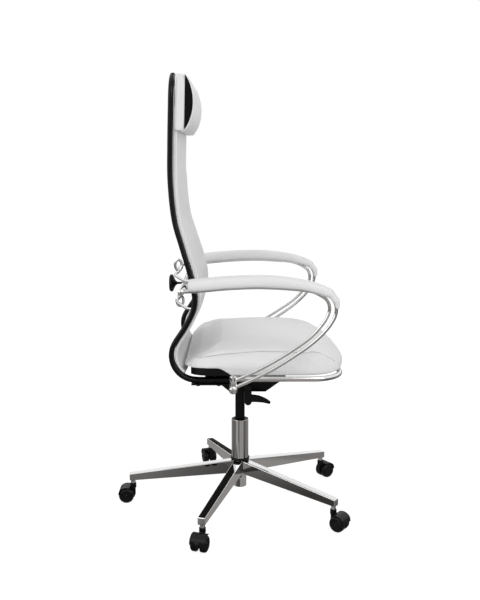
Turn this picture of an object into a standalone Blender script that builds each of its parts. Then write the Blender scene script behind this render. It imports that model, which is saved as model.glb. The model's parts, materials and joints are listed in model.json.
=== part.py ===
"""Swivel office chair with a padded S-shaped back, twin-rod arms and a five-leg castor base.

Sizes are metres. The floor is z = 0, the lift column stands on the Z axis,
the chair faces -Y and the sitter's right hand is on the -X side.
"""
import math

import bmesh
import bpy
from mathutils import Matrix, Vector

for leftover in list(bpy.data.objects):
    bpy.data.objects.remove(leftover, do_unlink=True)

# Fits
GAP = 0.0003            # between pieces that are fixed to each other
RUNNING = 0.0004        # between pieces that turn or slide on each other

# Star base
LEG_COUNT = 5
FIRST_LEG_DEG = 90.0    # one leg points straight back
STEM_CIRCLE = 0.318     # radius of the circle through the castor stems
LEG_OVERHANG = 0.0095
LEG_TIP_WIDTH = 0.021
LEG_TIP_TOP = 0.0873
LEG_TIP_DEPTH = 0.0205
LEG_ROOT_WIDTH = 0.026
LEG_ROOT_TOP = 0.1313
LEG_ROOT_DEPTH = 0.039
LEG_EDGE = 0.0015
HUB_RADIUS = 0.019
HUB_BOTTOM = 0.0508
HUB_TOP = 0.1335

# Castors
WHEEL_RADIUS = 0.0223
WHEEL_WIDTH = 0.0172
WHEEL_DISH = 0.0012
WHEEL_SIDES = 18
CASTOR_TRAIL = 0.0195
WEB_THICKNESS = 0.009
FENDER_WALL = 0.0024
FENDER_CLEARANCE = 0.0014
AXLE_RADIUS = 0.003
STEM_RADIUS = 0.0055
STEM_LENGTH_IN_LEG = 0.015
STEM_LENGTH_IN_HOOD = 0.0115
COLLAR_RADIUS = 0.007
COLLAR_HEIGHT = 0.0085
SOCKET_RADIUS = 0.009

# Lift column
STAND_RADIUS = 0.017
STAND_WALL = 0.0022
STAND_FLOOR = 0.004
STAND_TOP = 0.2303
STAND_BOTTOM = 0.0563
RING_HEIGHT = 0.0063
RING_RADIUS = 0.028
COVER_RADIUS = 0.025
COVER_WALL = 0.0015
COVER_HEIGHT = 0.1165
BUSH_HEIGHT = 0.024
BUSH_RECESS = 0.0025
ROD_RADIUS = 0.005
BEARING_RADIUS = 0.0125
BEARING_HEIGHT = 0.005
PISTON_RADIUS = 0.0105
PISTON_TOP = 0.2808
CYLINDER_RADIUS = 0.014
CYLINDER_BOTTOM = 0.1658
CYLINDER_TOP = 0.3898
CYLINDER_WALL = 0.003
CYLINDER_HEAD = 0.014
VALVE_RADIUS = 0.004
VALVE_SEAT = 0.008
VALVE_RISE = 0.0055

# Tilt mechanism
TRAY_HALF_WIDTH = 0.085
TRAY_WALL = 0.0025
TRAY_BOTTOM = 0.3618
TRAY_DEPTH = 0.053
TRAY_REAR_HEIGHT = 0.031
TRAY_REAR = 0.058
TRAY_FRONT = -0.128
TRAY_FLOOR_REAR = 0.030
TRAY_FLOOR_FRONT = -0.072
TRAY_PIVOT_SHOULDER = -0.045
TAPER_RADIUS = 0.0175
TILT_AXLE_RADIUS = 0.006
TILT_AXLE_Y = -0.055
TILT_AXLE_Z = 0.4038
TILT_SPRING_RADIUS = 0.013
EAR_THICKNESS = 0.003
EAR_RADIUS = 0.014
CARRIER_BOTTOM = 0.4213
CARRIER_THICKNESS = 0.004
CARRIER_ARM_FRONT = 0.020
CARRIER_ARM_REAR = 0.095
CARRIER_STRIP_REAR = 0.128
CARRIER_STRIP_WIDTH = 0.026

# Height lever
LEVER_PIVOT_Y = -0.0225
LEVER_PIVOT_Z = 0.3833
LEVER_SHAFT_RADIUS = 0.004
LEVER_PLATE_WIDTH = 0.0195
LEVER_DROP = 0.0405     # pivot down to the centre of the round lower end
LEVER_THICKNESS = 0.010
LEVER_STANDOFF = 0.030  # tray wall to the inner face of the lever
LEVER_REACH = 0.063     # pivot forward to the tip of the horn
LEVER_HORN_ROOT = 0.0205
LEVER_HORN_TIP = 0.006
LEVER_HORN_DROOP = 0.018
FINGER_THICKNESS = 0.004
FINGER_WIDTH = 0.010

# Back rails: a straight foot, a round bend behind the seat, then Y, Z points of the centre line
RAIL_FOOT_START = 0.000
RAIL_BEND_Y = 0.1137
RAIL_BEND_Z = 0.4993
RAIL_BEND_RADIUS = 0.066
RAIL_BEND_END_DEG = 35.0
RAIL_UPPER = (
    (0.1480, 0.5668), (0.1325, 0.5938), (0.1200, 0.6228), (0.1175, 0.6528), (0.1275, 0.7068), (0.1495, 0.7808),
    (0.1693, 0.8508), (0.1795, 0.9508), (0.1790, 1.0408), (0.1757, 1.1523),
)
RAIL_THICKNESS = 0.0144
RAIL_WIDTH = 0.026
RAIL_FOOT_INSET = 0.033  # rail's centre line inside the cushion's side
RAIL_HEAD_X = 0.184
RAIL_TAPER_START = 0.6108
RAIL_TAPER_END = 0.9908
TOP_CORNER_RADIUS = 0.056
TOP_LEAD = 0.006        # straight end of the top bar before its bend

# Back upholstery
PANEL_LAP = 0.001       # how far the panel reaches past the rail's centre line
PANEL_START_Y = 0.140
PANEL_EDGE = 0.007
PANEL_CROWNS = (        # height above the floor and thickness at the middle of the panel
    (0.4308, 0.0080), (0.6008, 0.0080), (0.6908, 0.0145), (0.7508, 0.0165), (0.8708, 0.0140), (0.9508, 0.0110),
    (1.2908, 0.0110),
)
PANEL_BORDER = 0.030
PANEL_CHANNEL = 0.0035

# Seat
SEAT_TUBE_RADIUS = 0.007
SEAT_TUBE_INSET = 0.005  # tube's centre line inside the cushion's side
SEAT_TUBE_Z = 0.4428
SEAT_TUBE_FRONT = -0.268
SEAT_TUBE_CORNER = 0.080
PAN_THICKNESS = 0.0065
PAN_REAR_HEIGHT = 0.018
PAN_STEP_REAR = 0.053
PAN_STEP_FRONT = 0.028
PAN_STEP_EDGE = 0.004
PAN_INSET = 0.030
PAN_STEP_INSET = 0.010
PAN_REAR = 0.129
CUSHION_HALF_WIDTH = 0.255
CUSHION_REAR = 0.152
CUSHION_FRONT = -0.287
CUSHION_FRONT_BOW = 0.020
CUSHION_REAR_CORNER = 0.060
CUSHION_FRONT_CORNER = 0.085
CUSHION_CROWN = 0.020
CUSHION_EDGES = (       # Y and the height of the cushion's edge above its underside
    (-0.290, 0.0145), (-0.276, 0.0265), (-0.250, 0.0435), (-0.206, 0.0520), (-0.145, 0.0590),
    (-0.070, 0.0610), (0.020, 0.0580), (0.086, 0.0510), (0.128, 0.0425), (0.152, 0.0285),
)

# Arms
ARM_CLEARANCE = 0.045    # cushion's side to the middle of the arm
ARM_ROD_RADIUS = 0.0045
ARM_ROD_SPREAD = 0.0055   # half the distance between the rods under the pad
ARM_SPREAD_LOW = 0.5108
ARM_SPREAD_HIGH = 0.6308
BRACKET_Y = 0.0175
BRACKET_Z = 0.4288
BRACKET_BOSS_RADIUS = 0.0105
BRACKET_BARREL_RADIUS = 0.009
BRACKET_BARREL_TOP = 0.4638
BRACKET_OVERHANG = 0.011
ARM_OUTER_RISE = (
    (0.0175, 0.4318), (-0.026, 0.4518), (-0.077, 0.4778), (-0.127, 0.5088), (-0.177, 0.5448),
    (-0.214, 0.5808), (-0.2345, 0.6118), (-0.2405, 0.6338), (-0.2365, 0.6538), (-0.222, 0.6703),
)
ARM_INNER_RISE = (
    (0.0175, 0.4498), (-0.031, 0.4718), (-0.077, 0.4958), (-0.127, 0.5268), (-0.177, 0.5628),
    (-0.211, 0.6018), (-0.2235, 0.6278), (-0.2235, 0.6458), (-0.212, 0.6638),
)
ARM_REST = (
    (-0.170, 0.6833), (-0.110, 0.6893), (-0.040, 0.6918), (0.040, 0.6883), (0.100, 0.6828),
)
PAD_WIDTH = 0.050
PAD_THICKNESS = 0.0265
PAD_REAR = 0.130
PAD_TIP_REACH = 0.012
PAD_TAPER = 0.170        # length over which the pad thins towards its tip
CROSS_TUBE_RADIUS = 0.0085
CROSS_TUBE_Y = 0.146
CROSS_TUBE_Z = 0.6808
CROSS_TUBE_OVERHANG = 0.0135
SADDLE_WIDTH = 0.018
SADDLE_HEIGHT = 0.011

# Lumbar support
KNOB_DROP = 0.022       # cross tube down to the screw's axis
KNOB_Y = 0.190          # front face of the disc
KNOB_RADIUS = 0.025
KNOB_THICKNESS = 0.012
KNOB_CONE = 0.009
KNOB_LOBES = 12
SCREW_RADIUS = 0.0035
NUT_WIDTH = 0.024
NUT_DEPTH = 0.016
NUT_DROP = 0.013        # below the screw's axis
LUMBAR_TRAVEL = 0.008
LUMBAR_PAD_HALF_WIDTH = 0.175
LUMBAR_PAD_THICKNESS = 0.005
LUMBAR_PAD_LOW = 0.6200
LUMBAR_PAD_HIGH = 0.6940
LUMBAR_BOSS_RADIUS = 0.009
LUMBAR_BOSS_LENGTH = 0.010
WIRE_RADIUS = 0.004
WIRE_BOW_RISE = 0.036   # bow's height above or below the screw's axis
WIRE_BOW_Y = 0.1805
WIRE_EYE_DEPTH = 0.0098
WIRE_EYE_HEIGHT = 0.0152
WIRE_EYE_PITCH = 0.0095

# Headrest
HEADREST_LOW = 1.0766
HEADREST_HEIGHT = 0.145
HEADREST_BAND = 0.0275
HEADREST_BULGE = 0.0228
HEADREST_LENS = 0.0212
HEADREST_CHEEK = 0.007
HEADREST_CLEARANCE = 0.0007
HEADREST_END = 0.002

# Facets
ROUND = 24
ROUND_SMALL = 12

# Places that follow from the sizes
SEAT_TUBE_X = CUSHION_HALF_WIDTH - SEAT_TUBE_INSET
RAIL_FOOT_X = CUSHION_HALF_WIDTH - RAIL_FOOT_INSET
ARM_X = CUSHION_HALF_WIDTH + ARM_CLEARANCE
KNOB_Z = CROSS_TUBE_Z - KNOB_DROP


def paint(name, colour, roughness, metallic):
    material = bpy.data.materials.new(name)
    material.use_nodes = True
    shader = material.node_tree.nodes["Principled BSDF"]
    shader.inputs["Base Color"].default_value = (*colour, 1.0)
    shader.inputs["Roughness"].default_value = roughness
    shader.inputs["Metallic"].default_value = metallic
    return material


CHROME = paint("chrome", (0.82, 0.82, 0.82), 0.08, 1.0)
STEEL = paint("steel", (0.55, 0.55, 0.56), 0.35, 1.0)
BLACK_METAL = paint("black painted metal", (0.015, 0.015, 0.016), 0.35, 0.0)
BLACK_PLASTIC = paint("black plastic", (0.02, 0.02, 0.021), 0.45, 0.0)
WHITE_LEATHER = paint("white leather", (0.86, 0.86, 0.85), 0.45, 0.0)
BLACK_LEATHER = paint("black leather", (0.02, 0.02, 0.02), 0.5, 0.0)


# Modelling helpers

def to_mesh(work, name):
    bmesh.ops.recalc_face_normals(work, faces=work.faces)
    mesh = bpy.data.meshes.new(name)
    work.to_mesh(mesh)
    work.free()
    return mesh


def piece(name, mesh, material, parent=None, location=(0.0, 0.0, 0.0)):
    mesh.materials.clear()
    mesh.materials.append(material)
    mesh.shade_smooth()
    mesh.set_sharp_from_angle(angle=math.radians(35))
    item = bpy.data.objects.new(name, mesh)
    bpy.context.scene.collection.objects.link(item)
    item.parent = parent
    item.location = location
    return item


def empty(name, location, turn_z=0.0):
    item = bpy.data.objects.new(name, None)
    bpy.context.scene.collection.objects.link(item)
    item.location = location
    item.rotation_euler = (0.0, 0.0, turn_z)
    return item


def moved(mesh, offset=(0.0, 0.0, 0.0), axis="Z"):
    """Lay a shape made round Z along another axis, then shift it."""
    turn = {
        "X": Matrix.Rotation(math.pi / 2, 4, "Y"),
        "Y": Matrix.Rotation(-math.pi / 2, 4, "X"),
        "Z": Matrix.Identity(4),
    }[axis]
    mesh.transform(Matrix.Translation(offset) @ turn)
    return mesh


def turned(profile, sides=ROUND, hollow=False, phase=0.0):
    """Revolve radius, height points round Z; a hollow profile closes on itself."""
    work = bmesh.new()
    start = Matrix.Rotation(phase, 3, "Z")
    verts = [work.verts.new(start @ Vector((radius, 0.0, height))) for radius, height in profile]
    edges = [work.edges.new(pair) for pair in zip(verts, verts[1:])]
    if hollow:
        edges.append(work.edges.new((verts[-1], verts[0])))
    bmesh.ops.spin(work, geom=verts + edges, axis=(0, 0, 1), cent=(0, 0, 0),
                   angle=2 * math.pi, steps=sides)
    bmesh.ops.remove_doubles(work, verts=work.verts, dist=1e-6)
    return to_mesh(work, "turned")


def cylinder(radius, low, high, sides=ROUND, phase=0.0):
    return turned([(0.0, high), (radius, high), (radius, low), (0.0, low)], sides, phase=phase)


def ring(inner, outer, low, high, sides=ROUND):
    return turned([(inner, high), (outer, high), (outer, low), (inner, low)], sides, hollow=True)


def loft(rings):
    """Skin a row of equal closed loops and cap both ends."""
    work = bmesh.new()
    loops = [[work.verts.new(point) for point in loop] for loop in rings]
    count = len(loops[0])
    for near, far in zip(loops, loops[1:]):
        for i in range(count):
            j = (i + 1) % count
            work.faces.new((near[i], near[j], far[j], far[i]))
    work.faces.new(list(reversed(loops[0])))
    work.faces.new(loops[-1])
    return to_mesh(work, "loft")


def extruded(outline, low, high, axis="X"):
    """Extrude a flat outline; for axis X the outline holds Y, Z, for axis Z it holds X, Y."""
    def place(a, b, depth):
        return (depth, a, b) if axis == "X" else (a, b, depth)
    return loft([[place(a, b, depth) for a, b in outline] for depth in (low, high)])


def bevelled(mesh, width, segments=1, angle_deg=30.0):
    work = bmesh.new()
    work.from_mesh(mesh)
    edges = [edge for edge in work.edges if edge.calc_face_angle(0.0) > math.radians(angle_deg)]
    bmesh.ops.bevel(work, geom=edges, offset=width, segments=segments, profile=0.5,
                    affect="EDGES", clamp_overlap=True)
    return to_mesh(work, "bevelled")


def box(low, high):
    work = bmesh.new()
    bmesh.ops.create_cube(work, size=1.0)
    low, high = Vector(low), Vector(high)
    size = high - low
    shape = Matrix.Translation((low + high) / 2) @ Matrix.Diagonal((*size, 1.0))
    bmesh.ops.transform(work, matrix=shape, verts=work.verts)
    return to_mesh(work, "box")


def boolean(base, tool, operation):
    target = bpy.data.objects.new("target", base)
    helper = bpy.data.objects.new("helper", tool)
    for item in (target, helper):
        bpy.context.scene.collection.objects.link(item)
    step = target.modifiers.new("boolean", "BOOLEAN")
    step.operation = operation
    step.object = helper
    result = bpy.data.meshes.new_from_object(target.evaluated_get(bpy.context.evaluated_depsgraph_get()))
    for item in (target, helper):
        bpy.data.objects.remove(item, do_unlink=True)
    work = bmesh.new()
    work.from_mesh(result)
    bmesh.ops.remove_doubles(work, verts=work.verts, dist=1e-6)
    bmesh.ops.dissolve_degenerate(work, edges=work.edges, dist=1e-6)
    bmesh.ops.triangulate(work, faces=work.faces, quad_method="SHORT_EDGE", ngon_method="EAR_CLIP")
    return to_mesh(work, "boolean")


def joined(meshes):
    work = bmesh.new()
    for mesh in meshes:
        work.from_mesh(mesh)
    return to_mesh(work, "joined")


def union(base, *tools):
    for tool in tools:
        base = boolean(base, tool, "UNION")
    return base


def cut(base, *tools):
    for tool in tools:
        base = boolean(base, tool, "DIFFERENCE")
    return base


def arc(centre, radius, start_deg, end_deg, steps):
    angles = [math.radians(start_deg + (end_deg - start_deg) * i / steps) for i in range(steps + 1)]
    return [(centre[0] + radius * math.cos(a), centre[1] + radius * math.sin(a)) for a in angles]


def oval(width, height, sides, power=2.0):
    """Closed section: an ellipse, or a squarer rounded shape for a higher power."""
    points = []
    for i in range(sides):
        a = 2 * math.pi * (i + 0.5) / sides
        c, s = math.cos(a), math.sin(a)
        reach = (abs(c) ** power + abs(s) ** power) ** (-1 / power)
        points.append((width / 2 * reach * c, height / 2 * reach * s))
    return points


def curve_through(points, step):
    """Smooth curve through the points, sampled about every step."""
    points = [Vector(point) for point in points]
    spans = [(b - a).length for a, b in zip(points, points[1:])]
    slopes = [(points[1] - points[0]) / spans[0]]
    for i in range(1, len(points) - 1):
        slopes.append((points[i + 1] - points[i - 1]) / (spans[i - 1] + spans[i]))
    slopes.append((points[-1] - points[-2]) / spans[-1])
    line = [points[0]]
    for i, span in enumerate(spans):
        count = max(1, round(span / step))
        for k in range(1, count + 1):
            t = k / count
            line.append(
                points[i] * (2 * t**3 - 3 * t**2 + 1) + slopes[i] * span * (t**3 - 2 * t**2 + t)
                + points[i + 1] * (3 * t**2 - 2 * t**3) + slopes[i + 1] * span * (t**3 - t**2)
            )
    return line


def tangents(line):
    result = []
    for i in range(len(line)):
        ahead = line[min(i + 1, len(line) - 1)]
        behind = line[max(i - 1, 0)]
        result.append((ahead - behind).normalized())
    return result


def sweep(line, section, across):
    """Carry a section along a line; its first axis starts along the given direction."""
    side = Vector(across)
    rings = []
    for point, ahead in zip(line, tangents(line)):
        side = (side - ahead * side.dot(ahead)).normalized()
        up = ahead.cross(side)
        rings.append([point + side * a + up * b for a, b in section])
    return loft(rings)


def clamp(value):
    return min(max(value, 0.0), 1.0)


# Star base and castors

def leg_mesh():
    start = HUB_RADIUS - (HUB_RADIUS - STAND_RADIUS - GAP) * 0.3
    end = STEM_CIRCLE + LEG_OVERHANG
    rings = []
    for x, width, top, depth in (
        (start, LEG_ROOT_WIDTH, LEG_ROOT_TOP, LEG_ROOT_DEPTH),
        (end, LEG_TIP_WIDTH, LEG_TIP_TOP, LEG_TIP_DEPTH),
    ):
        half = width / 2
        rings.append([(x, -half, top - depth), (x, half, top - depth), (x, half, top), (x, -half, top)])
    return bevelled(loft(rings), LEG_EDGE)


def leg_turns():
    return [math.radians(FIRST_LEG_DEG + 360.0 * k / LEG_COUNT) for k in range(LEG_COUNT)]


LEG_SLOPE = (LEG_TIP_TOP - LEG_TIP_DEPTH - LEG_ROOT_TOP + LEG_ROOT_DEPTH) / (STEM_CIRCLE + LEG_OVERHANG)
LEG_UNDERSIDE = LEG_TIP_TOP - LEG_TIP_DEPTH - LEG_SLOPE * (LEG_OVERHANG - COLLAR_RADIUS)
STEM_SHOULDER = LEG_UNDERSIDE - 2 * GAP
STEM_TOP = STEM_SHOULDER + STEM_LENGTH_IN_LEG
HOOD_TOP = STEM_SHOULDER - COLLAR_HEIGHT - GAP


def star_base():
    hub = ring(STAND_RADIUS + GAP, HUB_RADIUS, HUB_BOTTOM, HUB_TOP)
    legs, sockets = [], []
    for turn in leg_turns():
        legs.append(leg_mesh())
        legs[-1].transform(Matrix.Rotation(turn, 4, "Z"))
        socket = cylinder(STEM_RADIUS + GAP, LEG_UNDERSIDE - LEG_TIP_DEPTH, STEM_TOP + GAP, ROUND_SMALL)
        sockets.append(moved(socket, (STEM_CIRCLE * math.cos(turn), STEM_CIRCLE * math.sin(turn), 0.0)))
    return cut(union(hub, joined(legs)), joined(sockets))


def castor_stem():
    return turned([
        (0.0, STEM_TOP), (STEM_RADIUS, STEM_TOP), (STEM_RADIUS, STEM_SHOULDER),
        (COLLAR_RADIUS, STEM_SHOULDER), (COLLAR_RADIUS, HOOD_TOP + GAP),
        (STEM_RADIUS, HOOD_TOP + GAP), (STEM_RADIUS, HOOD_TOP - STEM_LENGTH_IN_HOOD),
        (0.0, HOOD_TOP - STEM_LENGTH_IN_HOOD),
    ], ROUND_SMALL)


TREAD_RADIUS = WHEEL_RADIUS / math.cos(math.pi / WHEEL_SIDES)
FENDER_INNER = TREAD_RADIUS + FENDER_CLEARANCE
FENDER_OUTER = FENDER_INNER + FENDER_WALL
WHEEL_INNER = WEB_THICKNESS / 2 + 2 * RUNNING
WHEEL_OUTER = WHEEL_INNER + WHEEL_WIDTH


def castor_hood():
    """Fender over both wheels, the web between them, the stem socket and the axle."""
    axle = (CASTOR_TRAIL, WHEEL_RADIUS)
    fender = (arc(axle, FENDER_OUTER, 4, 130, 9) + arc(axle, FENDER_INNER, 130, 4, 9))
    web = arc(axle, FENDER_OUTER - FENDER_WALL / 2, -8, 110, 8)
    web += [(SOCKET_RADIUS * 0.5, HOOD_TOP - FENDER_WALL), (-SOCKET_RADIUS * 0.7, HOOD_TOP - FENDER_WALL)]
    web += [(-SOCKET_RADIUS * 0.7, WHEEL_RADIUS), (-SOCKET_RADIUS / 3, WHEEL_RADIUS - SOCKET_RADIUS)]
    web += arc(axle, AXLE_RADIUS * 4, 200, 330, 4)

    def across(outline, half):
        return loft([[(x, y, z) for x, z in outline] for y in (half, -half)])

    hood = union(
        across(fender, WHEEL_OUTER - WHEEL_DISH),
        across(web, WEB_THICKNESS / 2),
        cylinder(SOCKET_RADIUS, HOOD_TOP - STEM_LENGTH_IN_HOOD - FENDER_WALL, HOOD_TOP, 16),
        moved(cylinder(AXLE_RADIUS, -WHEEL_OUTER, WHEEL_OUTER, ROUND_SMALL), (axle[0], 0.0, axle[1]), "Y"),
    )
    bore_floor = HOOD_TOP - STEM_LENGTH_IN_HOOD - GAP
    return cut(hood, cylinder(STEM_RADIUS + RUNNING, bore_floor, HOOD_TOP + COLLAR_HEIGHT, ROUND_SMALL))


def castor_wheel(side):
    """Domed wheel round the Y axis, on the given side of the web."""
    bore = AXLE_RADIUS + RUNNING
    edge = WHEEL_DISH * 3
    profile = [
        (bore, WHEEL_INNER), (TREAD_RADIUS - WHEEL_DISH, WHEEL_INNER),
        (TREAD_RADIUS, WHEEL_INNER + WHEEL_DISH), (TREAD_RADIUS, WHEEL_OUTER - edge),
        (TREAD_RADIUS - edge, WHEEL_OUTER - WHEEL_DISH), (bore * 3, WHEEL_OUTER), (bore, WHEEL_OUTER),
    ]
    profile = [(radius, side * height) for radius, height in profile]
    return moved(turned(profile, WHEEL_SIDES, hollow=True), axis="Y")


CASTOR_NAMES = ("back", "rear_right", "front_right", "front_left", "rear_left")


def build_base():
    piece("star_base", star_base(), CHROME)
    stem, hood = castor_stem(), castor_hood()
    wheels = {"left": castor_wheel(1), "right": castor_wheel(-1)}
    for name, turn in zip(CASTOR_NAMES, leg_turns()):
        spot = (STEM_CIRCLE * math.cos(turn), STEM_CIRCLE * math.sin(turn), 0.0)
        swivel = empty(f"castor_{name}", spot, turn)
        piece(f"castor_{name}_stem", stem, STEEL, swivel)
        piece(f"castor_{name}_hood", hood, BLACK_PLASTIC, swivel)
        axle = (CASTOR_TRAIL, 0.0, WHEEL_RADIUS)
        for side, wheel in wheels.items():
            piece(f"castor_{name}_wheel_{side}", wheel, BLACK_PLASTIC, swivel, axle)


# Lift column

RING_BOTTOM = HUB_TOP + GAP
COVER_BOTTOM = RING_BOTTOM + RING_HEIGHT + GAP
COVER_TOP = COVER_BOTTOM + COVER_HEIGHT
STAND_BORE = STAND_RADIUS - STAND_WALL
BEARING_BOTTOM = STAND_BOTTOM + STAND_FLOOR + GAP
BEARING_TOP = BEARING_BOTTOM + BEARING_HEIGHT


def gas_cylinder():
    bore = PISTON_RADIUS + RUNNING
    guide = ROD_RADIUS + RUNNING
    floor = CYLINDER_BOTTOM + CYLINDER_WALL * 4
    head = CYLINDER_TOP - CYLINDER_HEAD
    shell = turned([
        (0.0, CYLINDER_TOP), (CYLINDER_RADIUS, CYLINDER_TOP), (CYLINDER_RADIUS, CYLINDER_BOTTOM),
        (guide, CYLINDER_BOTTOM), (guide, floor), (bore, floor), (bore, head), (0.0, head),
    ])
    return cut(shell, cylinder(VALVE_RADIUS + RUNNING, CYLINDER_TOP - VALVE_SEAT, CYLINDER_TOP + VALVE_RISE,
                               ROUND_SMALL))


def build_column():
    washer = ring(STAND_RADIUS + GAP, RING_RADIUS, RING_BOTTOM, RING_BOTTOM + RING_HEIGHT)
    piece("hub_ring", washer, BLACK_PLASTIC)
    piece("stand_tube", turned([
        (STAND_BORE, STAND_TOP), (STAND_RADIUS, STAND_TOP), (STAND_RADIUS, STAND_BOTTOM),
        (ROD_RADIUS + RUNNING, STAND_BOTTOM), (ROD_RADIUS + RUNNING, STAND_BOTTOM + STAND_FLOOR),
        (STAND_BORE, STAND_BOTTOM + STAND_FLOOR),
    ], hollow=True), STEEL)
    piece("lift_cover", ring(COVER_RADIUS - COVER_WALL, COVER_RADIUS, COVER_BOTTOM, COVER_TOP), CHROME)
    bush_top = COVER_TOP - BUSH_RECESS
    bush_outer = COVER_RADIUS - COVER_WALL - GAP
    piece("cover_bush", turned([
        (CYLINDER_RADIUS + RUNNING, bush_top), (bush_outer, bush_top), (bush_outer, bush_top - BUSH_HEIGHT),
        (STAND_RADIUS + GAP, bush_top - BUSH_HEIGHT), (STAND_RADIUS + GAP, STAND_TOP + GAP),
        (CYLINDER_RADIUS + RUNNING, STAND_TOP + GAP),
    ], hollow=True), BLACK_PLASTIC)
    piece("thrust_bearing", ring(ROD_RADIUS + RUNNING, BEARING_RADIUS, BEARING_BOTTOM, BEARING_TOP), STEEL)
    clip = ring(ROD_RADIUS + GAP, ROD_RADIUS * 2, HUB_BOTTOM + GAP, STAND_BOTTOM - GAP)
    piece("retaining_clip", clip, STEEL)
    collar = BEARING_TOP + GAP
    piece("piston_rod", turned([
        (0.0, PISTON_TOP), (PISTON_RADIUS, PISTON_TOP), (PISTON_RADIUS, PISTON_TOP - ROD_RADIUS * 2),
        (ROD_RADIUS, PISTON_TOP - ROD_RADIUS * 2), (ROD_RADIUS, collar + ROD_RADIUS),
        (ROD_RADIUS * 1.8, collar + ROD_RADIUS), (ROD_RADIUS * 1.8, collar), (ROD_RADIUS, collar),
        (ROD_RADIUS, HUB_BOTTOM), (0.0, HUB_BOTTOM),
    ], 16), STEEL)
    piece("gas_cylinder", gas_cylinder(), BLACK_METAL)
    piece("valve_button", cylinder(VALVE_RADIUS, CYLINDER_TOP - VALVE_SEAT / 2, CYLINDER_TOP + VALVE_RISE,
                                   ROUND_SMALL), STEEL)


# Tilt mechanism

EAR_INNER = TRAY_HALF_WIDTH + RUNNING
CARRIER_TOP = CARRIER_BOTTOM + CARRIER_THICKNESS


def tray():
    """Pressed steel tray: deep at the column, cut down behind so that the seat can tilt."""
    top = TRAY_BOTTOM + TRAY_DEPTH
    rear_top = TRAY_BOTTOM + TRAY_REAR_HEIGHT
    outline = [
        (TRAY_FLOOR_REAR, TRAY_BOTTOM), (TRAY_REAR, rear_top - TRAY_WALL * 3), (TRAY_REAR, rear_top),
        (TRAY_PIVOT_SHOULDER, top), (TRAY_FRONT, top), (TRAY_FRONT, top - TRAY_WALL * 5),
        (TRAY_FLOOR_FRONT, TRAY_BOTTOM),
    ]
    lift = TRAY_DEPTH
    hollow = [
        (TRAY_FLOOR_REAR - TRAY_WALL / 2, TRAY_BOTTOM + TRAY_WALL),
        (TRAY_REAR - TRAY_WALL, rear_top - TRAY_WALL * 2), (TRAY_REAR - TRAY_WALL, top + lift),
        (TRAY_FRONT + TRAY_WALL, top + lift), (TRAY_FRONT + TRAY_WALL, top - TRAY_WALL * 4),
        (TRAY_FLOOR_FRONT + TRAY_WALL / 2, TRAY_BOTTOM + TRAY_WALL),
    ]
    inner = TRAY_HALF_WIDTH - TRAY_WALL
    shell = cut(extruded(outline, -TRAY_HALF_WIDTH, TRAY_HALF_WIDTH), extruded(hollow, -inner, inner))
    shell = union(shell, cylinder(TAPER_RADIUS, TRAY_BOTTOM, CYLINDER_TOP))
    axle_hole = cylinder(TILT_AXLE_RADIUS + RUNNING, -TRAY_HALF_WIDTH * 2, TRAY_HALF_WIDTH * 2, 16)
    shaft_hole = cylinder(LEVER_SHAFT_RADIUS + RUNNING, -TRAY_HALF_WIDTH * 2, -inner + TRAY_WALL, ROUND_SMALL)
    return cut(
        shell,
        cylinder(CYLINDER_RADIUS + GAP, TRAY_BOTTOM - lift, top + lift),
        moved(axle_hole, (0.0, TILT_AXLE_Y, TILT_AXLE_Z), "X"),
        moved(shaft_hole, (0.0, LEVER_PIVOT_Y, LEVER_PIVOT_Z), "X"),
    )


def seat_carrier():
    """Plate under the rails with two ears that hang on the tilt axle."""
    half = TRAY_HALF_WIDTH + EAR_THICKNESS + 2 * RUNNING
    reach = RAIL_FOOT_X + CARRIER_STRIP_WIDTH / 2
    strip = RAIL_FOOT_X - CARRIER_STRIP_WIDTH / 2
    right = [
        (half, TRAY_FRONT), (half, CARRIER_ARM_FRONT), (strip, CARRIER_ARM_FRONT),
        (strip, RAIL_FOOT_START), (reach, RAIL_FOOT_START), (reach, CARRIER_STRIP_REAR),
        (strip, CARRIER_STRIP_REAR), (strip, CARRIER_ARM_REAR),
    ]
    plate = extruded(right + [(-x, y) for x, y in reversed(right)], CARRIER_BOTTOM, CARRIER_TOP, "Z")
    ear = arc((TILT_AXLE_Y, TILT_AXLE_Z), EAR_RADIUS, 180, 360, 8)
    ear += [(TILT_AXLE_Y + EAR_RADIUS * 1.6, CARRIER_TOP - CARRIER_THICKNESS / 2),
            (TILT_AXLE_Y - EAR_RADIUS * 1.6, CARRIER_TOP - CARRIER_THICKNESS / 2)]
    ears = [extruded(ear, side * EAR_INNER, side * (EAR_INNER + EAR_THICKNESS)) for side in (-1, 1)]
    hole = moved(cylinder(TILT_AXLE_RADIUS + GAP, -reach, reach, 16), (0.0, TILT_AXLE_Y, TILT_AXLE_Z), "X")
    return cut(union(plate, joined(ears)), hole)


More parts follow.
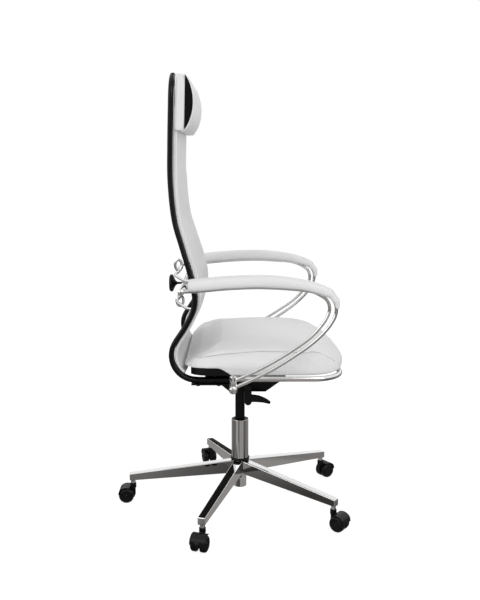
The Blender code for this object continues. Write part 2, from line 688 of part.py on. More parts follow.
def lever_mesh():
    """Hanging plate with a round lower end and a drooping horn for the fingers."""
    low = LEVER_PIVOT_Z - LEVER_DROP
    half = LEVER_PLATE_WIDTH / 2
    top = LEVER_PIVOT_Z + half
    tip_y, tip_z = LEVER_PIVOT_Y - LEVER_REACH, low - LEVER_HORN_TIP
    root_y = LEVER_PIVOT_Y - half
    upper = curve_through([
        (root_y, low + LEVER_HORN_ROOT), (root_y - LEVER_REACH * 0.3, low + LEVER_HORN_DROOP),
        (root_y - LEVER_REACH * 0.62, low + LEVER_HORN_DROOP * 0.55), (tip_y, tip_z + LEVER_HORN_TIP),
    ], LEVER_REACH / 6)
    lower = curve_through([
        (tip_y + LEVER_HORN_TIP * 0.5, tip_z), (root_y - LEVER_REACH * 0.45, low - LEVER_HORN_TIP * 0.2),
        (root_y, low),
    ], LEVER_REACH / 5)
    outline = [tuple(point) for point in upper] + [tuple(point) for point in lower]
    outline += arc((LEVER_PIVOT_Y, low), half, 190, 360, 7)
    outline += arc((LEVER_PIVOT_Y, top - half), half, 0, 180, 7)
    outer = -(TRAY_HALF_WIDTH + LEVER_STANDOFF + LEVER_THICKNESS)
    body = bevelled(extruded(outline, outer, outer + LEVER_THICKNESS), LEVER_THICKNESS * 0.15, angle_deg=60)
    floor = outer + LEVER_THICKNESS * 0.3
    socket = cylinder(LEVER_SHAFT_RADIUS + GAP, floor, outer + LEVER_THICKNESS * 2, ROUND_SMALL)
    return cut(body, moved(socket, (0.0, LEVER_PIVOT_Y, LEVER_PIVOT_Z), "X"))


def lever_shaft():
    outer = -(TRAY_HALF_WIDTH + LEVER_STANDOFF + LEVER_THICKNESS * 0.7) + GAP
    shaft = cylinder(LEVER_SHAFT_RADIUS, outer, FINGER_WIDTH / 2, ROUND_SMALL)
    under = CYLINDER_TOP + VALVE_RISE + GAP
    behind = LEVER_PIVOT_Y - LEVER_SHAFT_RADIUS
    finger = [
        (behind, LEVER_PIVOT_Z), (LEVER_PIVOT_Y, LEVER_PIVOT_Z), (LEVER_PIVOT_Y, under),
        (VALVE_RADIUS, under), (VALVE_RADIUS, under + FINGER_THICKNESS), (behind, under + FINGER_THICKNESS),
    ]
    return union(
        moved(shaft, (0.0, LEVER_PIVOT_Y, LEVER_PIVOT_Z), "X"),
        extruded(finger, -FINGER_WIDTH / 2, FINGER_WIDTH / 2 - GAP),
    )


def build_mechanism():
    piece("mechanism_housing", tray(), BLACK_METAL)
    half = EAR_INNER + EAR_THICKNESS + TILT_AXLE_RADIUS
    axle = cylinder(TILT_AXLE_RADIUS, -half, half, 16)
    piece("tilt_axle", moved(axle, (0.0, TILT_AXLE_Y, TILT_AXLE_Z), "X"), STEEL)
    spread = TRAY_HALF_WIDTH - TRAY_WALL - RUNNING
    spring = ring(TILT_AXLE_RADIUS + RUNNING, TILT_SPRING_RADIUS, -spread, spread, 16)
    piece("tilt_spring", moved(spring, (0.0, TILT_AXLE_Y, TILT_AXLE_Z), "X"), BLACK_PLASTIC)
    pivot = empty("lever_pivot", (0.0, LEVER_PIVOT_Y, LEVER_PIVOT_Z))
    back = Matrix.Translation((0.0, -LEVER_PIVOT_Y, -LEVER_PIVOT_Z))
    for name, mesh, material in (
        ("height_lever", lever_mesh(), BLACK_PLASTIC), ("lever_shaft", lever_shaft(), STEEL),
    ):
        mesh.transform(back)
        piece(name, mesh, material, pivot)
    piece("seat_carrier", seat_carrier(), BLACK_METAL)


# Back frame and upholstery

RAIL_STEP = 0.034
RAIL_SECTION_SIDES = 10


def rail_x(z):
    share = clamp((z - RAIL_TAPER_START) / (RAIL_TAPER_END - RAIL_TAPER_START))
    share = share * share * (3 - 2 * share)
    return RAIL_FOOT_X + (RAIL_HEAD_X - RAIL_FOOT_X) * share


def rail_line():
    bend = arc((RAIL_BEND_Y, RAIL_BEND_Z), RAIL_BEND_RADIUS, -90, RAIL_BEND_END_DEG, 7)
    foot = [(RAIL_FOOT_START, bend[0][1]), ((RAIL_FOOT_START + RAIL_BEND_Y) / 2, bend[0][1])]
    return curve_through(foot + bend + list(RAIL_UPPER), RAIL_STEP)


RAIL_LINE = rail_line()
RAIL_END = RAIL_LINE[-1]
RAIL_LEAN = (Vector(RAIL_UPPER[-1]) - Vector(RAIL_UPPER[-2])).normalized()


def rail_y_at(z):
    """Y of the rail's centre line on the upper, seat-to-head stretch."""
    stretch = [point for point in RAIL_LINE if point.y > RAIL_BEND_Z]
    for near, far in zip(stretch, stretch[1:]):
        if near.y <= z <= far.y:
            return near.x + (far.x - near.x) * (z - near.y) / (far.y - near.y)
    return RAIL_END.x + RAIL_LEAN.x / RAIL_LEAN.y * (z - RAIL_END.y)


def rail_section(grow=0.0):
    return oval(RAIL_WIDTH + 2 * grow, RAIL_THICKNESS + 2 * grow, RAIL_SECTION_SIDES, 3.0)


def rail_mesh(side, grow=0.0):
    line = [Vector((side * rail_x(point.y), point.x, point.y)) for point in RAIL_LINE]
    return sweep(line, rail_section(grow), (1, 0, 0))


def top_bar():
    """Bar over the head: two quarter bends and the straight between them."""
    start = RAIL_END.y + GAP
    bend = arc((RAIL_HEAD_X - TOP_CORNER_RADIUS, start + TOP_LEAD), TOP_CORNER_RADIUS, 0, 90, 5)
    bend.insert(0, (RAIL_HEAD_X, start))
    half = [(x, RAIL_END.x + RAIL_LEAN.x / RAIL_LEAN.y * (z - RAIL_END.y), z) for x, z in bend]
    line = [Vector(point) for point in half] + [Vector((-x, y, z)) for x, y, z in reversed(half)]
    return sweep(line, rail_section(), (1, 0, 0))


def panel_stations():
    """Centre line points with the panel's half width, from under the seat to the top bar."""
    bottom = [point for point in RAIL_LINE if point.x < PANEL_START_Y and point.y < RAIL_BEND_Z]
    stations = [(point, rail_x(point.y) + PANEL_LAP) for point in RAIL_LINE[len(bottom):]]
    radius = TOP_CORNER_RADIUS + PANEL_LAP
    for angle in (28, 52, 70):
        x, rise = radius * math.cos(math.radians(angle)), radius * math.sin(math.radians(angle))
        point = RAIL_END + RAIL_LEAN * ((TOP_LEAD + rise) / RAIL_LEAN.y)
        stations.append((point, RAIL_HEAD_X - TOP_CORNER_RADIUS + x))
    return stations


def panel_crown(z):
    for (low, near), (high, far) in zip(PANEL_CROWNS, PANEL_CROWNS[1:]):
        if z <= high:
            share = clamp((z - low) / (high - low))
            return near + (far - near) * share * share * (3 - 2 * share)
    return PANEL_CROWNS[-1][1]


def panel_section(half, crown):
    """Half section from the back edge round to the crown, then mirrored."""
    inner = half - PANEL_BORDER
    right = [
        (half, 0.0), (half, PANEL_EDGE * 0.55), (half - PANEL_EDGE * 0.5, PANEL_EDGE),
        (inner + PANEL_CHANNEL, PANEL_EDGE * 1.15), (inner, PANEL_EDGE * 0.75),
        (inner - PANEL_CHANNEL, PANEL_EDGE * 1.25), (inner * 0.62, crown * 0.92),
    ]
    return right + [(0.0, crown)] + [(-x, depth) for x, depth in reversed(right)] + [(0.0, 0.0)]


def back_panel():
    stations = panel_stations()
    line = [point for point, half in stations]
    offset = RAIL_THICKNESS / 2 + GAP
    rings = []
    for (point, half), ahead in zip(stations, tangents(line)):
        front = Vector((-ahead.y, ahead.x))
        loop = []
        for x, depth in panel_section(half, panel_crown(point.y)):
            spot = point + front * (offset + depth)
            loop.append((x, spot.x, spot.y))
        rings.append(loop)
    return loft(rings)


def build_back():
    for name, side in (("right", -1), ("left", 1)):
        piece(f"back_rail_{name}", rail_mesh(side), BLACK_METAL)
    piece("back_top_bar", top_bar(), BLACK_METAL)
    piece("back_upholstery", back_panel(), WHITE_LEATHER)


# Seat

PAN_BOTTOM = SEAT_TUBE_Z + SEAT_TUBE_RADIUS + GAP
PAN_TOP = PAN_BOTTOM + PAN_THICKNESS
CUSHION_BOTTOM = PAN_BOTTOM + GAP


def seat_outline(inset, steps=5):
    """Plan of the seat: round rear corners, rounder front corners and a bowed front edge."""
    half = CUSHION_HALF_WIDTH - inset
    rear, front = CUSHION_REAR - inset, CUSHION_FRONT + inset
    rear_r = max(CUSHION_REAR_CORNER - inset * 0.5, 0.01)
    front_r = max(CUSHION_FRONT_CORNER - inset * 0.5, 0.01)
    corner = front + CUSHION_FRONT_BOW
    right = arc((half - front_r, corner + front_r), front_r, -80, 0, steps)
    side_front, side_rear = corner + front_r, rear - rear_r
    right += [(half, side_front + (side_rear - side_front) * k / 4) for k in (1, 2, 3)]
    right += arc((half - rear_r, rear - rear_r), rear_r, 0, 90, steps)
    wide, level = right[0]
    bow = [(wide * k / 3, front + (level - front) * (k / 3) ** 2) for k in (-2, -1, 0, 1, 2)]
    return right + [(-x, y) for x, y in reversed(right)] + bow


CUSHION_LINE = curve_through(CUSHION_EDGES, 0.01)


def cushion_edge(y):
    """Height of the cushion's edge: it rolls down over the front tube and falls a little behind."""
    y = min(max(y, CUSHION_LINE[0].x), CUSHION_LINE[-1].x)
    for near, far in zip(CUSHION_LINE, CUSHION_LINE[1:]):
        if y <= far.x:
            return near.y + (far.y - near.y) * (y - near.x) / (far.x - near.x)
    return CUSHION_LINE[-1].y


def pan_step(lift, rear):
    """Side profile of the pan's raised rear part, grown by lift for the cushion's recess."""
    low, step = PAN_BOTTOM - lift * 9, PAN_BOTTOM + PAN_REAR_HEIGHT + lift
    return [
        (rear, low), (rear, step), (PAN_STEP_REAR - lift, step),
        (PAN_STEP_FRONT - lift, PAN_BOTTOM + PAN_STEP_EDGE + lift), (PAN_STEP_FRONT - lift, low),
    ]


def seat_cushion():
    """Boxed cushion: a skirt down to the tube, a seam round its upper edge and a low crown."""
    levels = [
        (0.010, 0.0, 0.0), (0.004, 0.08, 0.0), (0.0, 0.40, 0.0), (0.0003, 0.85, 0.0), (0.0035, 1.0, 0.0),
        (0.012, 1.0, 0.06), (0.035, 1.0, 0.20), (0.080, 1.0, 0.52), (0.140, 1.0, 0.85), (0.190, 1.0, 1.0),
    ]
    rings = []
    for inset, side, crown in levels:
        loop = []
        for x, y in seat_outline(inset):
            loop.append((x, y, CUSHION_BOTTOM + cushion_edge(y) * side + CUSHION_CROWN * crown))
        rings.append(loop)
    recess = extruded(seat_outline(PAN_INSET - GAP), PAN_BOTTOM - PAN_THICKNESS, PAN_TOP + GAP, "Z")
    reach = CUSHION_HALF_WIDTH * 2
    return cut(loft(rings), recess, extruded(pan_step(GAP, CUSHION_REAR * 2), -reach, reach))


def seat_pan():
    step = extruded(seat_outline(PAN_STEP_INSET), PAN_BOTTOM, PAN_BOTTOM + PAN_REAR_HEIGHT * 2, "Z")
    step = boolean(step, extruded(pan_step(0.0, PAN_REAR), -CUSHION_HALF_WIDTH, CUSHION_HALF_WIDTH), "INTERSECT")
    return union(extruded(seat_outline(PAN_INSET), PAN_BOTTOM, PAN_TOP, "Z"), step)


def bracket_clearance():
    """The bosses of both front brackets, grown by the gap, for coping what is welded to them."""
    reach = ARM_X * 2
    return moved(cylinder(BRACKET_BOSS_RADIUS + GAP, -reach, reach), (0.0, BRACKET_Y, BRACKET_Z), "X")


def seat_tube():
    centre = (SEAT_TUBE_X - SEAT_TUBE_CORNER, SEAT_TUBE_FRONT + SEAT_TUBE_CORNER)
    bend = arc(centre, SEAT_TUBE_CORNER, 0, -90, 6)
    half = [(SEAT_TUBE_X, BRACKET_Y)] + bend
    line = [Vector((x, y, SEAT_TUBE_Z)) for x, y in half]
    line += [Vector((-x, y, SEAT_TUBE_Z)) for x, y in reversed(half)]
    tube = sweep(line, oval(2 * SEAT_TUBE_RADIUS, 2 * SEAT_TUBE_RADIUS, ROUND_SMALL), (0, 0, 1))
    return cut(tube, bracket_clearance())


def build_seat():
    piece("seat_pan", seat_pan(), BLACK_PLASTIC)
    piece("seat_cushion", seat_cushion(), WHITE_LEATHER)
    piece("seat_tube", seat_tube(), CHROME)


# Arms

def arm_spread(z):
    share = clamp((z - ARM_SPREAD_LOW) / (ARM_SPREAD_HIGH - ARM_SPREAD_LOW))
    return ARM_ROD_SPREAD * share * share * (3 - 2 * share)


def arm_line(rise):
    """Side profile of one rod, from the front bracket round to the cross tube."""
    return curve_through(rise + ARM_REST + ((CROSS_TUBE_Y, CROSS_TUBE_Z),), 0.026)


def arm_rod(side, rise, outward):
    line = [Vector((side * (ARM_X + outward * arm_spread(p.y)), p.x, p.y)) for p in arm_line(rise)]
    rod = sweep(line, oval(2 * ARM_ROD_RADIUS, 2 * ARM_ROD_RADIUS, 8), (1, 0, 0))
    reach = ARM_X * 2
    barrel = cylinder(BRACKET_BARREL_RADIUS + GAP, BRACKET_Z, BRACKET_BARREL_TOP * 2)
    cross = moved(cylinder(CROSS_TUBE_RADIUS + GAP, -reach, reach), (0.0, CROSS_TUBE_Y, CROSS_TUBE_Z), "X")
    return cut(rod, bracket_clearance(), moved(barrel, (side * ARM_X, BRACKET_Y, 0.0)), cross)


def front_bracket(side):
    inner = RAIL_FOOT_X + RAIL_WIDTH / 2 + GAP
    outer = ARM_X + BRACKET_OVERHANG
    dome = BRACKET_BOSS_RADIUS * 0.35
    boss = turned([
        (0.0, outer + dome), (BRACKET_BOSS_RADIUS * 0.6, outer + dome * 0.75),
        (BRACKET_BOSS_RADIUS, outer - dome), (BRACKET_BOSS_RADIUS, inner), (0.0, inner),
    ])
    boss = moved(boss, (0.0, BRACKET_Y, BRACKET_Z), "X")
    if side < 0:
        boss.transform(Matrix.Scale(-1, 4, (1, 0, 0)))
        boss.flip_normals()
    barrel = bevelled(cylinder(BRACKET_BARREL_RADIUS, BRACKET_Z, BRACKET_BARREL_TOP, 16), 0.001, angle_deg=60)
    return union(boss, moved(barrel, (side * ARM_X, BRACKET_Y, 0.0)))


def arm_pad(side):
    """Padded rest that follows the rods; its tip curls down over the front bend."""
    tip, tail = ARM_OUTER_RISE[-3][1] - PAD_TIP_REACH / 2, PAD_REAR - PAD_TIP_REACH / 2
    line = [point for point in arm_line(ARM_OUTER_RISE) if point.y > tip and point.x < tail]
    line.append(Vector((PAD_REAR, line[-1].y + (CROSS_TUBE_Z - line[-1].y) * 0.5)))
    last = len(line) - 1
    rings = []
    run = 0.0
    for i, (point, ahead) in enumerate(zip(line, tangents(line))):
        above = Vector((-ahead.y, ahead.x))
        run += (point - line[max(i - 1, 0)]).length
        front, rear = clamp((i + 0.6) / 3), clamp((last - i + 1.2) / 2)
        width = PAD_WIDTH * math.sqrt(front) * (0.75 + 0.25 * rear)
        thickness = PAD_THICKNESS * (0.42 + 0.58 * clamp(run / PAD_TAPER) ** 0.7) * (0.85 + 0.15 * rear)
        seat = ARM_ROD_RADIUS + GAP
        loop = []
        for a, b in oval(width, 1.0, 14, 3.2):
            depth = seat + thickness * (b + 0.5)
            loop.append((side * (ARM_X + a), point.x + above.x * depth, point.y + above.y * depth))
        rings.append(loop)
    return loft(rings)


def cross_tube():
    """Tube behind the rails that ties both arms together, with its saddles and the lumbar nut."""
    end = ARM_X + CROSS_TUBE_OVERHANG
    dome = CROSS_TUBE_RADIUS * 0.5
    tube = turned([
        (0.0, end + dome), (CROSS_TUBE_RADIUS * 0.65, end + dome * 0.7), (CROSS_TUBE_RADIUS, end),
        (CROSS_TUBE_RADIUS, -end), (CROSS_TUBE_RADIUS * 0.65, -end - dome * 0.7), (0.0, -end - dome),
    ], 16)
    tube = moved(tube, (0.0, CROSS_TUBE_Y, CROSS_TUBE_Z), "X")
    rail_back = rail_y_at(CROSS_TUBE_Z) + RAIL_THICKNESS / 2
    slope = abs(rail_y_at(CROSS_TUBE_Z + SADDLE_HEIGHT / 2) - rail_y_at(CROSS_TUBE_Z))
    saddles = []
    for side in (-1, 1):
        middle = side * rail_x(CROSS_TUBE_Z)
        low = (middle - SADDLE_WIDTH / 2, rail_back + slope + 2 * GAP, CROSS_TUBE_Z - SADDLE_HEIGHT / 2)
        high = (middle + SADDLE_WIDTH / 2, CROSS_TUBE_Y, CROSS_TUBE_Z + SADDLE_HEIGHT / 2)
        saddles.append(box(low, high))
    nut_front = CROSS_TUBE_Y - NUT_DEPTH / 2
    nut_half = NUT_WIDTH / 2
    nut = box((-nut_half, nut_front, KNOB_Z - NUT_DROP), (nut_half, nut_front + NUT_DEPTH, CROSS_TUBE_Z))
    bore = cylinder(SCREW_RADIUS + RUNNING, 0.0, KNOB_Y, ROUND_SMALL)
    return cut(union(tube, joined(saddles), nut), moved(bore, (0.0, 0.0, KNOB_Z), "Y"))


def build_arms():
    for name, side in (("right", -1), ("left", 1)):
        piece(f"arm_bracket_{name}", front_bracket(side), CHROME)
        piece(f"arm_rod_outer_{name}", arm_rod(side, ARM_OUTER_RISE, 1), CHROME)
        piece(f"arm_rod_inner_{name}", arm_rod(side, ARM_INNER_RISE, -1), CHROME)
        piece(f"arm_pad_{name}", arm_pad(side), WHITE_LEATHER)
    piece("arm_cross_tube", cross_tube(), CHROME)


# Lumbar support

def lumbar_wire(up):
    """Spring wire between the rails: a bow with one closed eye at its middle."""
    z = KNOB_Z + up * WIRE_BOW_RISE
    rail = rail_y_at(z) + RAIL_THICKNESS / 2
    foot_x = rail_x(z)
    eye_y = WIRE_BOW_Y - WIRE_EYE_DEPTH * 0.55 * (1 if up > 0 else 1.6)
    eye_z = z + up * WIRE_EYE_HEIGHT
    half = [
        (foot_x, rail - WIRE_RADIUS, z), (foot_x * 0.97, rail + 0.009, z), (foot_x * 0.84, rail + 0.021, z),
        (foot_x * 0.45, eye_y + WIRE_EYE_DEPTH * 0.1, z),
    ]
    turns = 14
    eye = []
    for k in range(turns + 1):
        a = 2 * math.pi * k / turns
        eye.append((WIRE_EYE_PITCH * (0.5 - k / turns), eye_y + WIRE_EYE_DEPTH * math.sin(a),
                    eye_z - up * WIRE_EYE_HEIGHT * math.cos(a)))
    left = curve_through(half, 0.03) + [Vector((foot_x * 0.12, eye_y - WIRE_EYE_DEPTH * 0.25, z))]
    right = [Vector((-p.x, p.y, p.z)) for p in reversed(left)]
    line = left + [Vector(point) for point in eye] + right
    wire = sweep(line, oval(2 * WIRE_RADIUS, 2 * WIRE_RADIUS, 8), (0, 0, 1))
    return cut(wire, rail_mesh(1, GAP), rail_mesh(-1, GAP))


def lumbar_knob():
    """Grip disc with shallow lobes, a cone and the plain end of its screw."""
    back = KNOB_Y + KNOB_THICKNESS
    disc = turned([
        (0.0, back), (KNOB_RADIUS * 0.8, back), (KNOB_RADIUS, back - KNOB_THICKNESS * 0.3),
        (KNOB_RADIUS, KNOB_Y + KNOB_THICKNESS * 0.2), (KNOB_RADIUS * 0.9, KNOB_Y),
        (SCREW_RADIUS * 2.6, KNOB_Y), (SCREW_RADIUS * 1.3, KNOB_Y - KNOB_CONE),
        (SCREW_RADIUS, KNOB_Y - KNOB_CONE), (SCREW_RADIUS, lumbar_screw_end()), (0.0, lumbar_screw_end()),
    ])
    grooves = []
    for k in range(KNOB_LOBES):
        a = 2 * math.pi * k / KNOB_LOBES
        groove = cylinder(KNOB_RADIUS * 0.16, KNOB_Y - KNOB_CONE / 2, back + KNOB_CONE, 8)
        grooves.append(moved(groove, (KNOB_RADIUS * 1.1 * math.cos(a), KNOB_RADIUS * 1.1 * math.sin(a), 0.0)))
    return moved(cut(disc, joined(grooves)), axis="Y")


def panel_rear(z):
    return rail_y_at(z) - RAIL_THICKNESS / 2 - GAP


def lumbar_face(z):
    """Front of the lumbar pad at rest, one travel behind the panel."""
    return panel_rear(z) + LUMBAR_TRAVEL + 3 * GAP


def lumbar_screw_end():
    return lumbar_face(KNOB_Z) + LUMBAR_PAD_THICKNESS * 0.6


def lumbar_pad():
    count = 6
    levels = [LUMBAR_PAD_LOW + (LUMBAR_PAD_HIGH - LUMBAR_PAD_LOW) * k / count for k in range(count + 1)]
    front = [(lumbar_face(z), z) for z in levels]
    back = [(y + LUMBAR_PAD_THICKNESS, z) for y, z in reversed(front)]
    plate = extruded(front + back, -LUMBAR_PAD_HALF_WIDTH, LUMBAR_PAD_HALF_WIDTH)
    plate = bevelled(plate, LUMBAR_PAD_THICKNESS * 0.2, angle_deg=60)
    root = lumbar_face(KNOB_Z) + LUMBAR_PAD_THICKNESS / 2
    boss = cylinder(LUMBAR_BOSS_RADIUS, root, root + LUMBAR_BOSS_LENGTH, 16)
    bore = cylinder(SCREW_RADIUS + RUNNING, lumbar_screw_end() - GAP, KNOB_Y, ROUND_SMALL)
    plate = union(plate, moved(boss, (0.0, 0.0, KNOB_Z), "Y"))
    return cut(plate, moved(bore, (0.0, 0.0, KNOB_Z), "Y"))


def build_lumbar():
    piece("lumbar_wire_upper", lumbar_wire(1), CHROME)
    piece("lumbar_wire_lower", lumbar_wire(-1), CHROME)
    piece("lumbar_knob", lumbar_knob(), BLACK_PLASTIC, location=(0.0, 0.0, KNOB_Z))
    piece("lumbar_pad", lumbar_pad(), BLACK_PLASTIC)


# Headrest

def headrest_spot(x, along, depth):
    """Point on the headrest: along the back from its lower edge, depth in front of the rail's centre."""
    foot = Vector((rail_y_at(HEADREST_LOW), HEADREST_LOW))
    spot = foot + RAIL_LEAN * along + Vector((-RAIL_LEAN.y, RAIL_LEAN.x)) * depth
    return (x, spot.x, spot.y)


BAND_REAR = RAIL_THICKNESS / 2 + 4 * GAP
BAND_FRONT = BAND_REAR + HEADREST_BAND


def headrest_bulge(low, high, swell, steps=9):
    """Front of the pillow as a shallow arch from its upper to its lower edge."""
    points = []
    for k in range(steps + 1):
        a = math.pi * k / steps
        along = (low + high) / 2 + (high - low) / 2 * math.cos(a)
        points.append((along, BAND_FRONT + swell * max(math.sin(a), 0.0) ** 1.7))
    return points


def headrest_section(inset):
    edge = 0.005
    top = HEADREST_HEIGHT - inset
    front = headrest_bulge(edge * 0.4 + inset, top - edge * 0.4, HEADREST_BULGE - inset)
    rear = [(inset, BAND_FRONT - edge), (inset, BAND_REAR + edge * 0.4), (inset + edge * 0.4, BAND_REAR),
            (top - edge * 0.4, BAND_REAR), (top, BAND_REAR + edge * 0.4), (top, BAND_FRONT - edge)]
    return front + rear


def headrest_half_width():
    return RAIL_HEAD_X + PANEL_LAP + HEADREST_CLEARANCE + HEADREST_CHEEK


def headrest_cushion():
    half = headrest_half_width()
    round_end = 0.003
    rings = []
    for x, inset in ((-half, round_end * 0.4), (-half + round_end, 0.0), (half - round_end, 0.0),
                     (half, round_end * 0.4)):
        rings.append([headrest_spot(x, along, depth) for along, depth in headrest_section(inset)])
    slot_half = RAIL_HEAD_X + PANEL_LAP + HEADREST_CLEARANCE
    slot_front = RAIL_THICKNESS / 2 + GAP + panel_crown(HEADREST_LOW) + HEADREST_CLEARANCE
    below, above = -HEADREST_HEIGHT, HEADREST_HEIGHT * 2
    slot = [(below, 0.0), (above, 0.0), (above, slot_front), (below, slot_front)]
    tool = loft([[headrest_spot(x, along, depth) for along, depth in slot] for x in (-slot_half, slot_half)])
    return cut(loft(rings), tool)


def headrest_end(side):
    """Dark lens-shaped panel on the end of the pillow."""
    half = headrest_half_width() + GAP
    edge = 0.0045
    lens = headrest_bulge(edge, HEADREST_HEIGHT - edge, HEADREST_LENS, 12)
    faces = (side * half, side * (half + HEADREST_END))
    return loft([[headrest_spot(x, along, depth) for along, depth in lens] for x in faces])


def build_headrest():
    piece("headrest_cushion", headrest_cushion(), WHITE_LEATHER)
    for name, side in (("right", -1), ("left", 1)):
        piece(f"headrest_end_{name}", headrest_end(side), BLACK_LEATHER)


build_base()
build_column()
build_mechanism()
build_back()
build_seat()
build_arms()
build_lumbar()
build_headrest()
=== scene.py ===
import json
import math

import bpy
from mathutils import Matrix, Vector


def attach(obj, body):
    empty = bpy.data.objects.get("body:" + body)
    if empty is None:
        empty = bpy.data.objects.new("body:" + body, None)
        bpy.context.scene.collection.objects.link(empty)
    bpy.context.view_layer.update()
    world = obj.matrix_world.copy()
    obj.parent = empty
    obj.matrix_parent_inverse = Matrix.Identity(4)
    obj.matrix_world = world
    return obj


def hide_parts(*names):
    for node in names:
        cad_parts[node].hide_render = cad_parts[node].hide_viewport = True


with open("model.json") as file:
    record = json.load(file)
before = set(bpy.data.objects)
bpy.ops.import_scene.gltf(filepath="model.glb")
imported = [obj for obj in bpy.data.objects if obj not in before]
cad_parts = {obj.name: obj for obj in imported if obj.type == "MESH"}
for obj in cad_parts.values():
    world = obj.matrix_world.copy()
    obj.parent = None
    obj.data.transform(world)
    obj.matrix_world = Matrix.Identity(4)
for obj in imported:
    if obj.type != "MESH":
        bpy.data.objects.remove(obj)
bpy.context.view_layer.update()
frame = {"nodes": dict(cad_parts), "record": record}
nodes = frame["nodes"]
bodies = frame["record"]["behaviour"]["bodies"]
bodyOf = {node: body for body, members in bodies.items() for node in members}
slotOf = {part["node"]: part["material_slot"] for part in frame["record"]["subparts"]}
print("frame loaded:", len(nodes), "nodes")


# small helpers

def pickOnly(obj):
    if bpy.context.object and bpy.context.object.mode != "OBJECT":
        bpy.ops.object.mode_set(mode="OBJECT")
    bpy.ops.object.select_all(action="DESELECT")
    obj.select_set(True)
    bpy.context.view_layer.objects.active = obj


def editAll(obj):
    pickOnly(obj)
    bpy.ops.object.mode_set(mode="EDIT")
    bpy.ops.mesh.select_all(action="SELECT")


def editDone():
    bpy.ops.object.mode_set(mode="OBJECT")


def applyAll(obj):  # bake every modifier and the object's place into its mesh
    pickOnly(obj)
    for mod in list(obj.modifiers):
        bpy.ops.object.modifier_apply(modifier=mod.name)
    bpy.ops.object.transform_apply(location=True, rotation=True, scale=True)


def smoothShade(obj, degrees=40):
    pickOnly(obj)
    bpy.ops.object.shade_smooth_by_angle(angle=math.radians(degrees))


def mergeAndTurnOut(obj):
    editAll(obj)
    bpy.ops.mesh.remove_doubles(threshold=0.00001)
    bpy.ops.mesh.normals_make_consistent(inside=False)
    editDone()


def softEdges(obj, width, segments=2, degrees=30):  # rounded edges that catch the light
    soft = obj.modifiers.new("soft", "BEVEL")
    soft.width = width
    soft.segments = segments
    soft.limit_method = "ANGLE"
    soft.angle_limit = math.radians(degrees)
    applyAll(obj)
    smoothShade(obj)
    even = obj.modifiers.new("even", "WEIGHTED_NORMAL")
    even.keep_sharp = True
    applyAll(obj)


def finishPiece(obj, mat, *stands, body=None, slot=None):
    obj.data.materials.clear()
    obj.data.materials.append(mat)
    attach(obj, body or bodyOf[stands[0]])
    if stands:
        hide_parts(*stands)


def addObject(name, data):
    obj = bpy.data.objects.new(name, data)
    bpy.context.scene.collection.objects.link(obj)
    return obj


def meshObject(name, points, edges, faces):
    mesh = bpy.data.meshes.new(name)
    mesh.from_pydata([tuple(p) for p in points], edges, faces)
    return addObject(name, mesh)


def turnAbout(axis, degrees):
    return Matrix.Rotation(math.radians(degrees), 4, axis)


def placePiece(obj, matrix):
    obj.matrix_world = matrix
    applyAll(obj)
    return obj


def copyPiece(obj, name, matrix=None):  # a copy with its own mesh, placed by the matrix
    twin = addObject(name, obj.data.copy())
    return placePiece(twin, matrix) if matrix is not None else twin


def mirrorCopy(obj, name):  # the same piece on the other side of the chair
    twin = copyPiece(obj, name, Matrix.Diagonal((-1, 1, 1, 1)))
    editAll(twin)
    bpy.ops.mesh.normals_make_consistent(inside=False)
    editDone()
    return twin


def joinPieces(first, *others):
    pickOnly(first)
    for other in others:
        other.select_set(True)
    bpy.ops.object.join()
    return first


def dropPieces(*pieces):
    for obj in pieces:
        bpy.data.objects.remove(obj)


def copyNode(node, name):  # a merged copy of a CAD solid, to be worked on
    obj = copyPiece(nodes[node], name)
    editAll(obj)
    bpy.ops.mesh.remove_doubles(threshold=0.00002)
    editDone()
    return obj


def arcPoints(centre, radius, startDeg, endDeg, steps):
    out = []
    for i in range(steps + 1):
        a = math.radians(startDeg + (endDeg - startDeg) * i / steps)
        out.append((centre[0] + radius * math.cos(a), centre[1] + radius * math.sin(a)))
    return out


def easeStep(value, low, high):
    t = min(max((value - low) / (high - low), 0.0), 1.0)
    return t * t * (3 - 2 * t)


def curveThrough(points, step):  # smooth line through the points
    pts = [Vector(p) for p in points]
    spans = [(b - a).length for a, b in zip(pts, pts[1:])]
    slopes = [(pts[1] - pts[0]) / spans[0]]
    for i in range(1, len(pts) - 1):
        slopes.append((pts[i + 1] - pts[i - 1]) / (spans[i - 1] + spans[i]))
    slopes.append((pts[-1] - pts[-2]) / spans[-1])
    line = [pts[0]]
    for i, span in enumerate(spans):
        count = max(1, round(span / step))
        for k in range(1, count + 1):
            t = k / count
            line.append(
                pts[i] * (2 * t**3 - 3 * t**2 + 1) + slopes[i] * span * (t**3 - 2 * t**2 + t)
                + pts[i + 1] * (3 * t**2 - 2 * t**3) + slopes[i + 1] * span * (t**3 - t**2)
            )
    return line


def tubeAlong(name, line, radius, resolution=5, profile=None, closed=False):  # bent tube, made a mesh
    data = bpy.data.curves.new(name, "CURVE")
    data.dimensions = "3D"
    data.twist_mode = "MINIMUM"
    data.use_fill_caps = not closed
    spline = data.splines.new("POLY")
    spline.points.add(len(line) - 1)
    for point, spot in zip(spline.points, line):
        point.co = (*spot, 1.0)
    spline.use_cyclic_u = closed
    if profile:
        data.bevel_mode = "OBJECT"
        data.bevel_object = profile
    else:
        data.bevel_depth = radius
        data.bevel_resolution = resolution
    pickOnly(addObject(name, data))
    bpy.ops.object.convert(target="MESH")
    obj = bpy.context.object
    mergeAndTurnOut(obj)
    smoothShade(obj, 50)
    return obj


